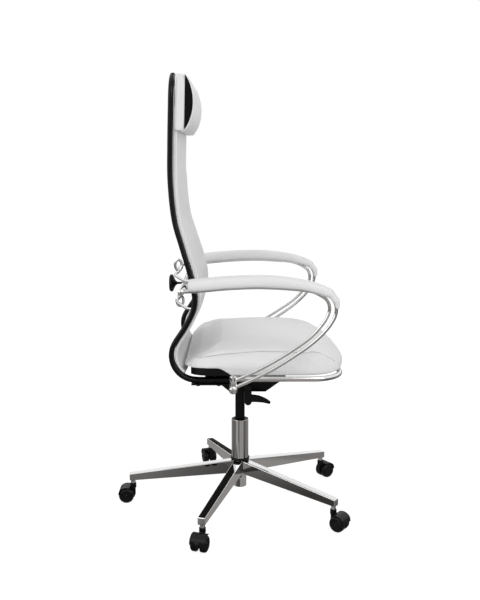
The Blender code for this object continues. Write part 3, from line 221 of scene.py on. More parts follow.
def spunPiece(name, profile, steps, matrix=None):  # (radius, height) points turned round the Z axis
    edges = [(i, i + 1) for i in range(len(profile) - 1)]
    obj = meshObject(name, [(r, 0.0, h) for r, h in profile], edges, [])
    editAll(obj)
    bpy.ops.mesh.spin(steps=steps, angle=2 * math.pi, center=(0, 0, 0), axis=(0, 0, 1))
    editDone()
    mergeAndTurnOut(obj)
    smoothShade(obj, 35)
    return placePiece(obj, matrix) if matrix is not None else obj


def plateFrom(name, outline, half):  # flat outline in X, Z, as wide as twice the half along Y
    obj = meshObject(name, [(x, -half, z) for x, z in outline], [], [tuple(range(len(outline)))])
    editAll(obj)
    bpy.ops.mesh.extrude_region_move(TRANSFORM_OT_translate={"value": (0, 2 * half, 0)})
    editDone()
    mergeAndTurnOut(obj)
    return obj


def loftRings(name, rings, capped=True):  # closed rings joined by quads
    size = len(rings[0])
    points = [p for ring in rings for p in ring]
    faces = []
    for i in range(len(rings) - 1):
        for k in range(size):
            j = (k + 1) % size
            faces.append((i * size + k, i * size + j, (i + 1) * size + j, (i + 1) * size + k))
    if capped:
        faces.append(tuple(reversed(range(size))))
        faces.append(tuple((len(rings) - 1) * size + k for k in range(size)))
    obj = meshObject(name, points, [], faces)
    mergeAndTurnOut(obj)
    return obj


# camera at the photograph's place

cameraSpec = {"place": (-2.2976, 0.0, 0.9963), "downDeg": 9.563, "focalPixels": 812.0, "imageHeight": 600,
              "sensor": 36.0, "clipEnd": 50.0}

bpy.ops.object.camera_add(location=cameraSpec["place"])
cam = bpy.context.object
cam.name = "camera"
cam.rotation_euler = (math.radians(90 - cameraSpec["downDeg"]), 0.0, math.radians(-90))
cam.data.sensor_width = cameraSpec["sensor"]
cam.data.lens = cameraSpec["focalPixels"] / cameraSpec["imageHeight"] * cameraSpec["sensor"]
cam.data.clip_end = cameraSpec["clipEnd"]
bpy.context.scene.camera = cam
print("camera set")


# material building

def newMaterial(name, **sockets):
    mat = bpy.data.materials.new(name)
    mat.use_nodes = True
    shader = mat.node_tree.nodes["Principled BSDF"]
    for label, value in sockets.items():
        value = (*value, 1.0) if isinstance(value, tuple) else value
        shader.inputs[label.replace("_", " ")].default_value = value
    return mat


def feedShader(mat, **outputs):
    shader = mat.node_tree.nodes["Principled BSDF"]
    for label, output in outputs.items():
        mat.node_tree.links.new(output, shader.inputs[label.replace("_", " ")])


def addNode(tree, kind, **settings):
    node = tree.nodes.new(kind)
    for key, value in settings.items():
        if key in node.inputs:
            node.inputs[key].default_value = value
        else:
            setattr(node, key, value)
    return node


def newGroup(name, inputs, outputs):  # a node group of plain values, with Object coordinates
    tree = bpy.data.node_groups.new(name, "ShaderNodeTree")
    for label, value in inputs.items():
        tree.interface.new_socket(label, in_out="INPUT", socket_type="NodeSocketFloat").default_value = value
    for label in outputs:
        tree.interface.new_socket(label, in_out="OUTPUT", socket_type="NodeSocketFloat")
    given, result = tree.nodes.new("NodeGroupInput"), tree.nodes.new("NodeGroupOutput")
    return tree, given.outputs, result.inputs, tree.nodes.new("ShaderNodeTexCoord").outputs["Object"]


def mixColours(tree, mask, first, second):
    mix = addNode(tree, "ShaderNodeMix", data_type="RGBA")
    tree.links.new(mask, mix.inputs[0])
    for socket, value in ((mix.inputs[6], first), (mix.inputs[7], second)):
        if isinstance(value, tuple):
            socket.default_value = (*value, 1.0)
        else:
            tree.links.new(value, socket)
    return mix.outputs[2]


def mapRange(tree, value, low, high, toLow, toHigh):
    node = tree.nodes.new("ShaderNodeMapRange")
    tree.links.new(value, node.inputs[0])
    for index, number in enumerate((low, high, toLow, toHigh), 1):
        node.inputs[index].default_value = number
    return node.outputs[0]


def math2(tree, operation, first, second):
    node = addNode(tree, "ShaderNodeMath", operation=operation)
    for socket, value in zip(node.inputs, (first, second)):
        if isinstance(value, (int, float)):
            socket.default_value = value
        else:
            tree.links.new(value, socket)
    return node.outputs[0]


def toneRamp(tree, value, stops):  # stops of (place, colour)
    ramp = tree.nodes.new("ShaderNodeValToRGB")
    tree.links.new(value, ramp.inputs[0])
    marks = ramp.color_ramp.elements
    marks[0].position, marks[0].color = stops[0][0], (*stops[0][1], 1)
    marks[1].position, marks[1].color = stops[-1][0], (*stops[-1][1], 1)
    for place, colour in stops[1:-1]:
        marks.new(place).color = (*colour, 1)
    return ramp.outputs[0]


def makeGrainGroup():  # pebbled hide: cells, fine pores and slow cloudiness, with painted shade in the creases between cells
    tree, given, result, spot = newGroup("hideGrain", {"Cell Scale": 620.0, "Cloud Scale": 9.0},
                                         ["Height", "Cloud", "Crease Shade"])
    warp = addNode(tree, "ShaderNodeTexNoise", Scale=160.0, Detail=2.0)
    cells = addNode(tree, "ShaderNodeTexVoronoi", feature="DISTANCE_TO_EDGE")
    pores = addNode(tree, "ShaderNodeTexNoise", Scale=1900.0, Detail=1.0)
    cloud = addNode(tree, "ShaderNodeTexNoise", Detail=3.0)
    bend = addNode(tree, "ShaderNodeVectorMath", operation="SCALE", Scale=0.0016)
    shift = addNode(tree, "ShaderNodeVectorMath", operation="ADD")
    link = tree.links.new
    for socket in (warp.inputs["Vector"], shift.inputs[0], pores.inputs["Vector"], cloud.inputs["Vector"]):
        link(spot, socket)
    link(warp.outputs["Color"], bend.inputs[0])
    link(bend.outputs[0], shift.inputs[1])
    link(shift.outputs[0], cells.inputs["Vector"])
    link(given["Cell Scale"], cells.inputs["Scale"])
    link(given["Cloud Scale"], cloud.inputs["Scale"])
    dome = mapRange(tree, cells.outputs["Distance"], 0.0, 0.28, 0.0, 1.0)
    fine = math2(tree, "MULTIPLY", pores.outputs["Fac"], 0.25)
    link(math2(tree, "ADD", dome, fine), result["Height"])
    link(cloud.outputs["Fac"], result["Cloud"])
    # painted shade: this mask is 1 along the cell edges, where the grain creases
    link(mapRange(tree, cells.outputs["Distance"], 0.0, 0.10, 1.0, 0.0), result["Crease Shade"])
    return tree


def makeSpeckGroup():  # tiny bumps of powder coat and moulded plastic, with faint blotches
    tree, given, result, spot = newGroup("moulding", {"Bump Scale": 1500.0, "Blotch Scale": 25.0},
                                         ["Height", "Blotch"])
    bumps = addNode(tree, "ShaderNodeTexNoise", Detail=2.0, Roughness=0.6)
    blotch = addNode(tree, "ShaderNodeTexNoise", Detail=4.0)
    for tex, scale, label in ((bumps, "Bump Scale", "Height"), (blotch, "Blotch Scale", "Blotch")):
        tree.links.new(spot, tex.inputs["Vector"])
        tree.links.new(given[scale], tex.inputs["Scale"])
        tree.links.new(tex.outputs["Fac"], result[label])
    return tree


def makePunchGroup():  # rows of small holes along the back's side, in Y and Z
    tree, given, result, spot = newGroup("punchedRows", {"Rows": 230.0}, ["Hole"])
    split = tree.nodes.new("ShaderNodeSeparateXYZ")
    flat = tree.nodes.new("ShaderNodeCombineXYZ")
    dots = addNode(tree, "ShaderNodeTexVoronoi", voronoi_dimensions="2D", Randomness=0.0)
    link = tree.links.new
    link(spot, split.inputs[0])
    link(split.outputs["Y"], flat.inputs["X"])
    link(split.outputs["Z"], flat.inputs["Y"])
    link(flat.outputs[0], dots.inputs["Vector"])
    link(given["Rows"], dots.inputs["Scale"])
    link(mapRange(tree, dots.outputs["Distance"], 0.20, 0.30, 1.0, 0.0), result["Hole"])
    return tree


grainGroup = makeGrainGroup()
speckGroup = makeSpeckGroup()
punchGroup = makePunchGroup()


def placeGroup(mat, group, **values):
    node = addNode(mat.node_tree, "ShaderNodeGroup", node_tree=group)
    for label, value in values.items():
        node.inputs[label.replace("_", " ")].default_value = value
    return node.outputs


def bumpFrom(mat, height, distance, strength):
    bump = addNode(mat.node_tree, "ShaderNodeBump", Strength=strength, Distance=distance)
    mat.node_tree.links.new(height, bump.inputs["Height"])
    return bump.outputs["Normal"]


def scaled(colour, factor):
    return tuple(c * factor for c in colour)


def hideMaterial(name, base, creaseShade, roughness, sheen, specular=0.35, strip=None):
    mat = newMaterial(name, Sheen_Weight=sheen, Sheen_Roughness=0.4, Specular_IOR_Level=specular)
    tree = mat.node_tree
    grain = placeGroup(mat, grainGroup, Cell_Scale=640.0)
    faint = mapRange(tree, grain["Cloud"], 0.3, 0.7, 0.0, 0.35)
    clouded = mixColours(tree, faint, base, scaled(base, 0.94))
    # painted shade: the colour is pulled towards the darker crease colour in the grain's creases
    colour = mixColours(tree, math2(tree, "MULTIPLY", grain["Crease Shade"], 0.35), clouded, creaseShade)
    height = grain["Height"]
    if strip:  # painted light: the side strip is painted paler than the front face, and the holes stay on it
        side = addNode(tree, "ShaderNodeAttribute", attribute_name="sideStrip").outputs["Fac"]
        colour = mixColours(tree, side, colour, strip)
        hole = math2(tree, "MULTIPLY", placeGroup(mat, punchGroup)["Hole"], side)
        # painted shade inside the punched holes
        colour = mixColours(tree, math2(tree, "MULTIPLY", hole, 0.6), colour, scaled(base, 0.4))
        height = math2(tree, "SUBTRACT", height, math2(tree, "MULTIPLY", hole, 2.0))
    rough = mapRange(tree, grain["Height"], 0.0, 1.2, roughness + 0.12, roughness - 0.05)
    feedShader(mat, Base_Color=colour, Roughness=rough, Normal=bumpFrom(mat, height, 0.00025, 0.35))
    return mat


def mouldedMaterial(name, base, roughness, bumpScale, distance, specular):
    mat = newMaterial(name, Specular_IOR_Level=specular)
    tree = mat.node_tree
    speck = placeGroup(mat, speckGroup, Bump_Scale=bumpScale)
    tone = mapRange(tree, speck["Blotch"], 0.35, 0.65, 0.0, 1.0)
    rough = mapRange(tree, speck["Blotch"], 0.3, 0.7, roughness - 0.04, roughness + 0.05)
    feedShader(mat, Base_Color=mixColours(tree, tone, base, scaled(base, 1.3)), Roughness=rough,
               Normal=bumpFrom(mat, speck["Height"], distance, 0.3))
    return mat


def platedMaterial(name, base, roughness):  # chrome plate with a faint polishing haze
    mat = newMaterial(name, Metallic=1.0)
    tree = mat.node_tree
    speck = placeGroup(mat, speckGroup, Blotch_Scale=11.0)
    tone = mapRange(tree, speck["Blotch"], 0.3, 0.7, 0.0, 1.0)
    rough = mapRange(tree, speck["Blotch"], 0.4, 0.75, roughness, roughness + 0.03)
    feedShader(mat, Base_Color=mixColours(tree, tone, base, scaled(base, 0.96)), Roughness=rough)
    return mat


whiteHide = hideMaterial("whiteHide", (0.78, 0.78, 0.775), (0.62, 0.62, 0.62), 0.45, 0.05)
# painted light and shade: the back's front face gets a darker base, and its side strip is painted paler
backHideShadedFront = hideMaterial("backHideShadedFront", (0.71, 0.71, 0.705), (0.56, 0.56, 0.56), 0.45, 0.05, strip=(0.83, 0.83, 0.825))
blackHide = hideMaterial("blackHide", (0.004, 0.004, 0.004), (0.002, 0.002, 0.002), 0.55, 0.0, specular=0.08)
chromePlate = platedMaterial("chromePlate", (0.80, 0.80, 0.80), 0.035)
bareSteel = platedMaterial("bareSteel", (0.86, 0.86, 0.87), 0.36)
powderBlack = mouldedMaterial("powderBlack", (0.0030, 0.0030, 0.0031), 0.30, 1300.0, 0.00004, 0.18)
castorBlack = mouldedMaterial("castorBlack", (0.0032, 0.0032, 0.0033), 0.33, 900.0, 0.00005, 0.24)
softRubber = mouldedMaterial("softRubber", (0.005, 0.005, 0.005), 0.65, 700.0, 0.00012, 0.15)
# painted shade: seam cords and stitches are grey for the shade in the seam groove and stitch holes
seamShadeGrey = mouldedMaterial("seamShadeGrey", (0.40, 0.40, 0.40), 0.7, 1800.0, 0.00015, 0.3)
finishOf = {"chrome": chromePlate, "steel": bareSteel, "black_metal": powderBlack, "black_plastic": castorBlack,
            "rubber": softRubber, "white_leather": whiteHide, "black_leather": blackHide}
for node, slot in slotOf.items():  # CAD nodes that keep their shape
    nodes[node].data.materials.clear()
    nodes[node].data.materials.append(finishOf[slot])
print("materials ready, CAD nodes dressed")


# five-leg base with its hub

baseSpec = {"root": {"x": 0.0184, "width": 0.026, "top": 0.1313, "depth": 0.039},
            "tip": {"x": 0.3275, "width": 0.021, "top": 0.0873, "depth": 0.0205},
            "edge": 0.0021, "hubEdge": 0.0006, "turns": [90, 162, 234, 306, 378],
            "hub": [(0.0173, 0.1335), (0.0190, 0.1335), (0.0190, 0.0790), (0.0184, 0.0782), (0.0184, 0.0770),
                    (0.0190, 0.0762), (0.0190, 0.0508), (0.0173, 0.0508), (0.0173, 0.1335)]}


def makeStarBase():
    bpy.ops.object.select_all(action="DESELECT")
    bpy.ops.mesh.primitive_cube_add(size=2)
    leg = bpy.context.object
    for v in leg.data.vertices:
        end = baseSpec["tip"] if v.co.x > 0 else baseSpec["root"]
        v.co = (end["x"], v.co.y * end["width"] / 2, end["top"] - (0 if v.co.z > 0 else end["depth"]))
    softEdges(leg, baseSpec["edge"], 3)
    hub = spunPiece("starBase", baseSpec["hub"], 72)
    softEdges(hub, baseSpec["hubEdge"])
    joinPieces(hub, *[copyPiece(leg, "leg", turnAbout("Z", turn)) for turn in baseSpec["turns"]])
    dropPieces(leg)
    finishPiece(hub, chromePlate, "star_base")


makeStarBase()
print("base done")


# castors: one stem, one hood and one wheel, copied to the five legs

castorSpec = {
    "names": ["back", "rear_right", "front_right", "front_left", "rear_left"], "circle": 0.318,
    "axle": (0.0195, 0.0223),
    "fender": {"outer": (0.02644, 0.0237), "inner": (0.02404, 0.0228), "angles": (8, 117, 4), "fade": (8, 48),
               "half": 0.0213, "edge": 0.0004},
    "web": {"rim": 0.02504, "eye": 0.012, "half": 0.0045, "edge": 0.0008,
            "corners": [(0.0045, 0.0552), (-0.0063, 0.0552), (-0.0063, 0.0223), (-0.003, 0.0133)]},
    "socket": [(0.0059, 0.0460), (0.0059, 0.0576), (0.0082, 0.0576), (0.0090, 0.0566), (0.0090, 0.0437),
               (0.0, 0.0437), (0.0, 0.0460), (0.0059, 0.0460)],
    "pin": [(0.0, 0.0200), (0.0030, 0.0200), (0.0030, -0.0200), (0.0, -0.0200)],
    "wheel": [(0.0, 0.0222), (0.0022, 0.0221), (0.0036, 0.0216), (0.0042, 0.0209), (0.0052, 0.0207),
              (0.0068, 0.0212), (0.0150, 0.0216), (0.0160, 0.0213), (0.0164, 0.0206), (0.0172, 0.0206),
              (0.0178, 0.0211), (0.0196, 0.0203), (0.0212, 0.0186), (0.0222, 0.0164), (0.0223, 0.0140),
              (0.0218, 0.0134), (0.0218, 0.0124), (0.0223, 0.0118), (0.0223, 0.0075), (0.0216, 0.0060),
              (0.0200, 0.0053), (0.0036, 0.0053), (0.0034, 0.0056), (0.0034, 0.0203), (0.0, 0.0203)],
    "stem": [(0.0, 0.0814), (0.0055, 0.0814), (0.0055, 0.0664), (0.0070, 0.0658), (0.0070, 0.0586),
             (0.0064, 0.0580), (0.0055, 0.0578), (0.0055, 0.0465), (0.0, 0.0465)],
}


def makeHood():
    axle, fender, web = castorSpec["axle"], castorSpec["fender"], castorSpec["web"]
    rim, lining = [], []
    for angle in range(*fender["angles"]):  # the fender thins out and closes in towards its lower end
        share, turn = easeStep(angle, *fender["fade"]), math.radians(angle)
        for line, (full, end) in ((rim, fender["outer"]), (lining, fender["inner"])):
            reach = end + (full - end) * share
            line.append((axle[0] + reach * math.cos(turn), axle[1] + reach * math.sin(turn)))
    shell = plateFrom("hood", rim + lining[::-1], fender["half"])
    softEdges(shell, fender["edge"])
    outline = arcPoints(axle, web["rim"], -8, 112, 20) + web["corners"] + arcPoints(axle, web["eye"], 200, 330, 12)
    plate = plateFrom("web", outline, web["half"])
    softEdges(plate, web["edge"])
    socket = spunPiece("socket", castorSpec["socket"], 40)
    across = Matrix.Translation((axle[0], 0, axle[1])) @ turnAbout("X", -90)
    return joinPieces(shell, plate, socket, spunPiece("axlePin", castorSpec["pin"], 24, across))


def makeCastors():
    hood = makeHood()
    stem, wheel = spunPiece("stem", castorSpec["stem"], 32), spunPiece("wheel", castorSpec["wheel"], 56)
    reach, height = castorSpec["axle"]
    for number, name in enumerate(castorSpec["names"]):
        spot = turnAbout("Z", 90 + 72 * number) @ Matrix.Translation((castorSpec["circle"], 0, 0))
        node, last = "castor_" + name, str(number)
        finishPiece(copyPiece(stem, "stem" + last, spot), bareSteel, node + "_stem")
        finishPiece(copyPiece(hood, "hood" + last, spot), castorBlack, node + "_hood")
        for side, flip in (("left", 0), ("right", 180)):
            seat = spot @ Matrix.Translation((reach, 0, height)) @ turnAbout("Z", flip) @ turnAbout("X", -90)
            piece = copyPiece(wheel, "wheel" + side.title() + last, seat)
            finishPiece(piece, castorBlack, node + "_wheel_" + side)
    dropPieces(hood, stem, wheel)


makeCastors()
print("castors done")


# lift column, turned finer than its solids

columnSpec = {
    "hubRing": {"mat": castorBlack, "node": "hub_ring", "edge": 0.0012,
                "line": [(0.0173, 0.1338), (0.0280, 0.1338), (0.0280, 0.1401), (0.0173, 0.1401),
                         (0.0173, 0.1338)]},
    "liftCover": {"mat": chromePlate, "node": "lift_cover", "edge": 0.0007,
                  "line": [(0.0235, 0.1404), (0.0250, 0.1404), (0.0250, 0.2569), (0.0235, 0.2569),
                           (0.0235, 0.1404)]},
    "coverBush": {"mat": castorBlack, "node": "cover_bush", "edge": 0.0006,
                  "line": [(0.0144, 0.25437), (0.0232, 0.25437), (0.0232, 0.2304), (0.0173, 0.2304),
                           (0.0173, 0.2306), (0.0144, 0.2306), (0.0144, 0.25437)]},
    "gasCylinder": {"mat": powderBlack, "node": "gas_cylinder", "edge": 0.0009,
                    "line": [(0.0, 0.3798), (0.0047, 0.3798), (0.0047, 0.3898), (0.0140, 0.3898), (0.0140, 0.1658),
                             (0.0054, 0.1658), (0.0054, 0.1778), (0.0109, 0.1778), (0.0109, 0.3758),
                             (0.0, 0.3758)]},
    "standTube": {"mat": bareSteel, "node": "stand_tube", "edge": 0.0008,
                  "line": [(0.0148, 0.2303), (0.0170, 0.2303), (0.0170, 0.0563), (0.0054, 0.0563),
                           (0.0054, 0.0603), (0.0148, 0.0603), (0.0148, 0.2303)]},
}

for name, spec in columnSpec.items():
    piece = spunPiece(name, spec["line"], 72)
    softEdges(piece, spec["edge"])
    finishPiece(piece, spec["mat"], spec["node"])
print("column done")


# plates and mouldings that keep their solid's shape, with rounded edges

plateSpec = {"mechanism_housing": (powderBlack, 0.0012), "seat_carrier": (powderBlack, 0.0008),
             "height_lever": (castorBlack, 0.0007), "seat_pan": (castorBlack, 0.0012),
             "lumbar_pad": (castorBlack, 0.0006), "tilt_axle": (bareSteel, 0.0008)}
boltSpec = {"spots": [(0.222, 0.056), (0.222, 0.1105), (-0.222, 0.056), (-0.222, 0.1105)], "top": 0.4213,
            "line": [(0.0, -0.0022), (0.0026, -0.0022), (0.0026, -0.0042), (0.0046, -0.0042), (0.0054, -0.0034),
                     (0.0056, -0.0010), (0.0072, -0.0009), (0.0072, 0.0), (0.0, 0.0)]}


def makePlates():
    for node, (mat, edge) in plateSpec.items():
        first, second = node.split("_")
        obj = copyNode(node, first + second.title())
        editAll(obj)
        bpy.ops.mesh.dissolve_limited(angle_limit=math.radians(1.0))
        editDone()
        softEdges(obj, edge)
        finishPiece(obj, mat, node)


def makeBolts():
    for number, spot in enumerate(boltSpec["spots"]):
        place = Matrix.Translation((*spot, boltSpec["top"]))
        bolt = spunPiece("railBolt" + str(number), boltSpec["line"], 24, place)
        finishPiece(bolt, powderBlack, body="seat", slot="black_metal")


makePlates()
makeBolts()
print("plates and bolts done")


# padded pieces: copy, remesh, inflate with cloth, refine

puffFrames = 20


def puffUp(obj, spec):  # cloth pressure, with the resting side held
    rest = [v.co.copy() for v in obj.data.vertices]
    held = obj.vertex_groups.new(name="held")
    held.add([v.index for v in obj.data.vertices if spec["held"](v.co, v.normal)], 1.0, "REPLACE")
    pickOnly(obj)
    bpy.ops.object.modifier_add(type="CLOTH")
    cloth = obj.modifiers[-1]
    cloth.settings.use_pressure = True
    cloth.settings.uniform_pressure_force = spec["pressure"]
    cloth.settings.vertex_group_mass = "held"
    cloth.settings.effector_weights.gravity = 0.0
    cloth.settings.quality = 4
    cloth.collision_settings.use_collision = False
    cloth.point_cache.frame_start = 1
    cloth.point_cache.frame_end = puffFrames
    for number in range(1, puffFrames + 1):
        bpy.context.scene.frame_set(number)
    grown = obj.evaluated_get(bpy.context.evaluated_depsgraph_get()).to_mesh()
    moved = [v.co.copy() for v in grown.vertices]
    obj.modifiers.remove(cloth)
    bpy.context.scene.frame_set(1)
    for vert, old, new in zip(obj.data.vertices, rest, moved):
        step = new - old
        if step.length > spec["cap"]:
            step *= spec["cap"] / step.length
        vert.co = old + step
    obj.vertex_groups.remove(held)


def settle(obj, rounds, levels=0):
    ease = obj.modifiers.new("ease", "SMOOTH")
    ease.factor = 0.5
    ease.iterations = rounds
    if levels:
        finer = obj.modifiers.new("finer", "SUBSURF")
        finer.levels = finer.render_levels = levels
    applyAll(obj)


def refine(obj, rounds, levels):
    settle(obj, rounds, levels)
    smoothShade(obj, 180)
    print(obj.name, "made,", len(obj.data.polygons), "faces")


def softBlank(node, name, spec, shape=None):
    obj = copyNode(node, name)
    editAll(obj)
    bpy.ops.transform.shrink_fatten(value=-spec["shrink"])
    editDone()
    obj.data.remesh_voxel_size = spec["voxel"]
    obj.data.use_remesh_fix_poles = False
    bpy.ops.object.voxel_remesh()
    settle(obj, spec["ease"])
    if shape:
        for v in obj.data.vertices:
            shape(v.co)
    puffUp(obj, spec)
    refine(obj, 3, 1)
    return obj


seatSpec = {"voxel": 0.0055, "shrink": 0.003, "ease": 4, "pressure": 4.0, "cap": 0.006,
            "held": lambda co, n: co.z < 0.458 or n.z < -0.5,
            "frontY": (0.20, 0.275), "frontZ": (0.466, 0.505), "tuck": 0.011, "roll": 0.009,
            "rearY": (0.02, 0.13), "rearZ": (0.475, 0.515), "lift": 0.008,
            "rimZ": (0.452, 0.478), "rimX": (0.17, 0.23), "drop": 0.0035,
            "seam": [(0.138, 0.4925), (0.121, 0.496), (0.051, 0.504), (-0.046, 0.511), (-0.143, 0.510),
                     (-0.214, 0.502), (-0.253, 0.478), (-0.262, 0.467)],
            "sideX": 0.15, "sideZ": 0.455, "facing": (0.3, 0.6), "groove": 0.0022, "spread": 0.0045,
            "cord": 0.0010, "seamEnd": 0.205, "outside": 0.45}


def shapeSeat(co):  # rolled front, full rear, and a lower rim that stands out over the tube
    spec = seatSpec
    reach = easeStep(-co.y, *spec["frontY"])
    high = easeStep(co.z, *spec["frontZ"])
    co.y += reach * (spec["tuck"] * high - spec["roll"] * (1 - high))
    co.z += spec["lift"] * easeStep(co.y, *spec["rearY"]) * easeStep(co.z, *spec["rearZ"])
    rim = 1 - easeStep(co.z, *spec["rimZ"])
    co.z -= spec["drop"] * rim * max(easeStep(abs(co.x), *spec["rimX"]), reach)


def skinPoints(pad, line, side):  # where lines from the side meet the pad
    hits = [pad.ray_cast((side * seatSpec["outside"], y, z), (-side, 0, 0)) for y, z in line]
    return [spot for hit, spot, normal, face in hits if hit and abs(spot.x) > seatSpec["seamEnd"]]


def makeSeat():
    spec = seatSpec
    pad = softBlank("seat_cushion", "seatPad", spec, shapeSeat)
    line = [(p.x, p.y) for p in curveThrough(spec["seam"], 0.004)]
    sides = [(v, v.normal.copy()) for v in pad.data.vertices
             if abs(v.co.x) > spec["sideX"] and v.co.z > spec["sideZ"]]
    for v, normal in sides:  # sink the sewn line into both sides
        near = min(math.hypot(v.co.y - y, v.co.z - z) for y, z in line)
        if near < 4 * spec["spread"]:
            depth = spec["groove"] * easeStep(abs(normal.x), *spec["facing"])
            v.co -= normal * depth * math.exp(-(near / spec["spread"]) ** 2)
    bpy.context.view_layer.update()
    # cords laid in the groove, painted grey as the seam line's shade
    for side, name in ((-1, "seatSeamRight"), (1, "seatSeamLeft")):
        cord = tubeAlong(name, skinPoints(pad, line, side), spec["cord"], 3)
        finishPiece(cord, seamShadeGrey, body="seat", slot="white_leather")
    finishPiece(pad, whiteHide, "seat_cushion")


makeSeat()


# back rails, with the panel that is stretched between them

railSpec = {"footStart": 0.0, "bend": (0.1137, 0.4993), "bendRadius": 0.066, "bendEnd": 35.0,
            "upper": [(0.1480, 0.5668), (0.1325, 0.5938), (0.1200, 0.6228), (0.1175, 0.6528), (0.1275, 0.7068),
                      (0.1495, 0.7808), (0.1693, 0.8508), (0.1795, 0.9508), (0.1790, 1.0408), (0.1757, 1.1523)],
            "width": 0.026, "thickness": 0.0144, "footX": 0.222, "headX": 0.184, "taper": (0.6108, 0.9908),
            "corner": 0.056, "lead": 0.006, "lean": (-0.0033, 0.1115), "gap": 0.0003, "sectionPoints": 28}
railLean = Vector(railSpec["lean"]).normalized()  # up the rails' straight end, in Y and Z
railFront = Vector((-railLean.y, railLean.x))


def railX(z):
    return railSpec["footX"] + (railSpec["headX"] - railSpec["footX"]) * easeStep(z, *railSpec["taper"])


def railLine(step=0.010):
    start, bend = railSpec["footStart"], railSpec["bend"]
    turn = arcPoints(bend, railSpec["bendRadius"], -90, railSpec["bendEnd"], 7)
    foot = [(start, turn[0][1]), ((start + bend[0]) / 2, turn[0][1])]
    return curveThrough(foot + turn + railSpec["upper"], step)


def railY(z):  # the rail's centre line above its bend
    line = [p for p in railLine() if p.y > railSpec["bend"][1]]
    for low, high in zip(line, line[1:]):
        if z <= high.y:
            return low.x + (high.x - low.x) * (z - low.y) / (high.y - low.y)
    return line[-1].x


def ovalProfile():  # closed rounded section for the rails
    data = bpy.data.curves.new("railSection", "CURVE")
    data.dimensions = "2D"
    spline = data.splines.new("POLY")
    count = railSpec["sectionPoints"]
    spline.points.add(count - 1)
    for i, point in enumerate(spline.points):
        a = 2 * math.pi * (i + 0.5) / count
        c, s = math.cos(a), math.sin(a)
        reach = (abs(c) ** 3 + abs(s) ** 3) ** (-1 / 3)
        point.co = (railSpec["width"] / 2 * reach * c, railSpec["thickness"] / 2 * reach * s, 0.0, 1.0)
    spline.use_cyclic_u = True
    return addObject("railSection", data)


def makeBackFrame():
    section, line = ovalProfile(), railLine()
    head, corner, end = railSpec["headX"], railSpec["corner"], line[-1]
    right = tubeAlong("railRight", [(-railX(p.y), p.x, p.y) for p in line], 0, profile=section)
    left = mirrorCopy(right, "railLeft")
    bend = arcPoints((head - corner, end.y + railSpec["lead"]), corner, 0, 90, 14)
    half = [(x, end.x + railLean.x / railLean.y * (z - end.y), z)
            for x, z in [(head, end.y + railSpec["gap"])] + bend]
    top = tubeAlong("topBar", half + [(-x, y, z) for x, y, z in reversed(half)], 0, profile=section)
    dropPieces(section)
    for obj, node in ((right, "back_rail_right"), (left, "back_rail_left"), (top, "back_top_bar")):
        finishPiece(obj, powderBlack, node)


makeBackFrame()

panelSpec = {"lap": 0.001, "headLap": -0.0002, "lapZ": (0.95, 0.99), "startY": 0.140, "border": 0.030,
             "narrow": 0.15, "edge": 0.0104, "lowest": 0.0005, "stripSteps": 5,
             "topAngles": (14, 28, 40, 52, 62, 70),
             "crowns": [(0.4308, 0.0080), (0.6008, 0.0080), (0.6908, 0.0145), (0.7508, 0.0165), (0.8708, 0.0140),
                        (0.9508, 0.0110), (1.2908, 0.0110)],
             # in from the side and share of the edge, out from the seam and share of the edge
             "wall": [(0, 0), (0, 0.25), (0, 0.55), (0, 0.80), (0.0004, 0.93), (0.0018, 0.99), (0.010, 1)],
             "seam": [(0.007, 1), (0.0028, 0.93), (0, 0.70), (-0.0028, 0.93)],
             # shares of the seam's place and of the crown, share of the side and a step inwards
             "shoulder": (0.008, 0.12), "middle": [(0.8, 0.5), (0.55, 0.82), (0.28, 0.97)],
             "rear": [(-1, 0.003), (-0.6, 0), (0, 0), (0.6, 0), (1, -0.003)],
             "pressure": 2.0, "cap": 0.0025, "held": lambda co, n: n.y > 0.2 or co.z > 0.99}


def panelCrown(z):
    for (low, near), (high, far) in zip(panelSpec["crowns"], panelSpec["crowns"][1:]):
        if z <= high:
            return near + (far - near) * easeStep(z, low, high)
    return panelSpec["crowns"][-1][1]


def panelSection(half, crown):  # depth in front of the rails: side, border, sewn channel, crowned middle
    spec = panelSpec
    edge = min(spec["edge"], crown - spec["lowest"])
    inner = half - spec["border"] * min(1.0, half / spec["narrow"])
    rise = crown - edge
    right = [(half - x, share * edge) for x, share in spec["wall"]]
    right += [(inner + x, share * edge) for x, share in spec["seam"]]
    right += [(inner - spec["shoulder"][0], edge + spec["shoulder"][1] * rise)]
    right += [(inner * x, edge + share * rise) for x, share in spec["middle"]]
    rear = [(share * half + step, 0.0) for share, step in spec["rear"]]
    return right + [(0.0, crown)] + [(-x, depth) for x, depth in reversed(right)] + rear


def panelHalf(z):  # a little narrower where the headrest slides
    lap, headLap = panelSpec["lap"], panelSpec["headLap"]
    return railX(z) + lap + (headLap - lap) * easeStep(z, *panelSpec["lapZ"])


def panelStations():
    stations = [(p, panelHalf(p.y)) for p in railLine(0.012)
                if p.x >= panelSpec["startY"] or p.y >= railSpec["bend"][1]]
    end, corner = stations[-1][0], railSpec["corner"]
    radius = corner + panelSpec["headLap"]
    for angle in panelSpec["topAngles"]:
        x, rise = radius * math.cos(math.radians(angle)), radius * math.sin(math.radians(angle))
        spot = end + railLean * ((railSpec["lead"] + rise) / railLean.y)
        stations.append((spot, railSpec["headX"] - corner + x))
    return stations


def markStrip(panel, around):  # both side walls, for the material's holes and its painted paler side tone
    strip = panel.data.attributes.new("sideStrip", "FLOAT", "POINT")
    lastFront = around - len(panelSpec["rear"]) - 1
    for v in panel.data.vertices:
        step = min(v.index % around, lastFront - v.index % around)  # points up from the rail, below 0 at the rear
        strip.data[v.index].value = 1.0 if 0 <= step < panelSpec["stripSteps"] else 0.0


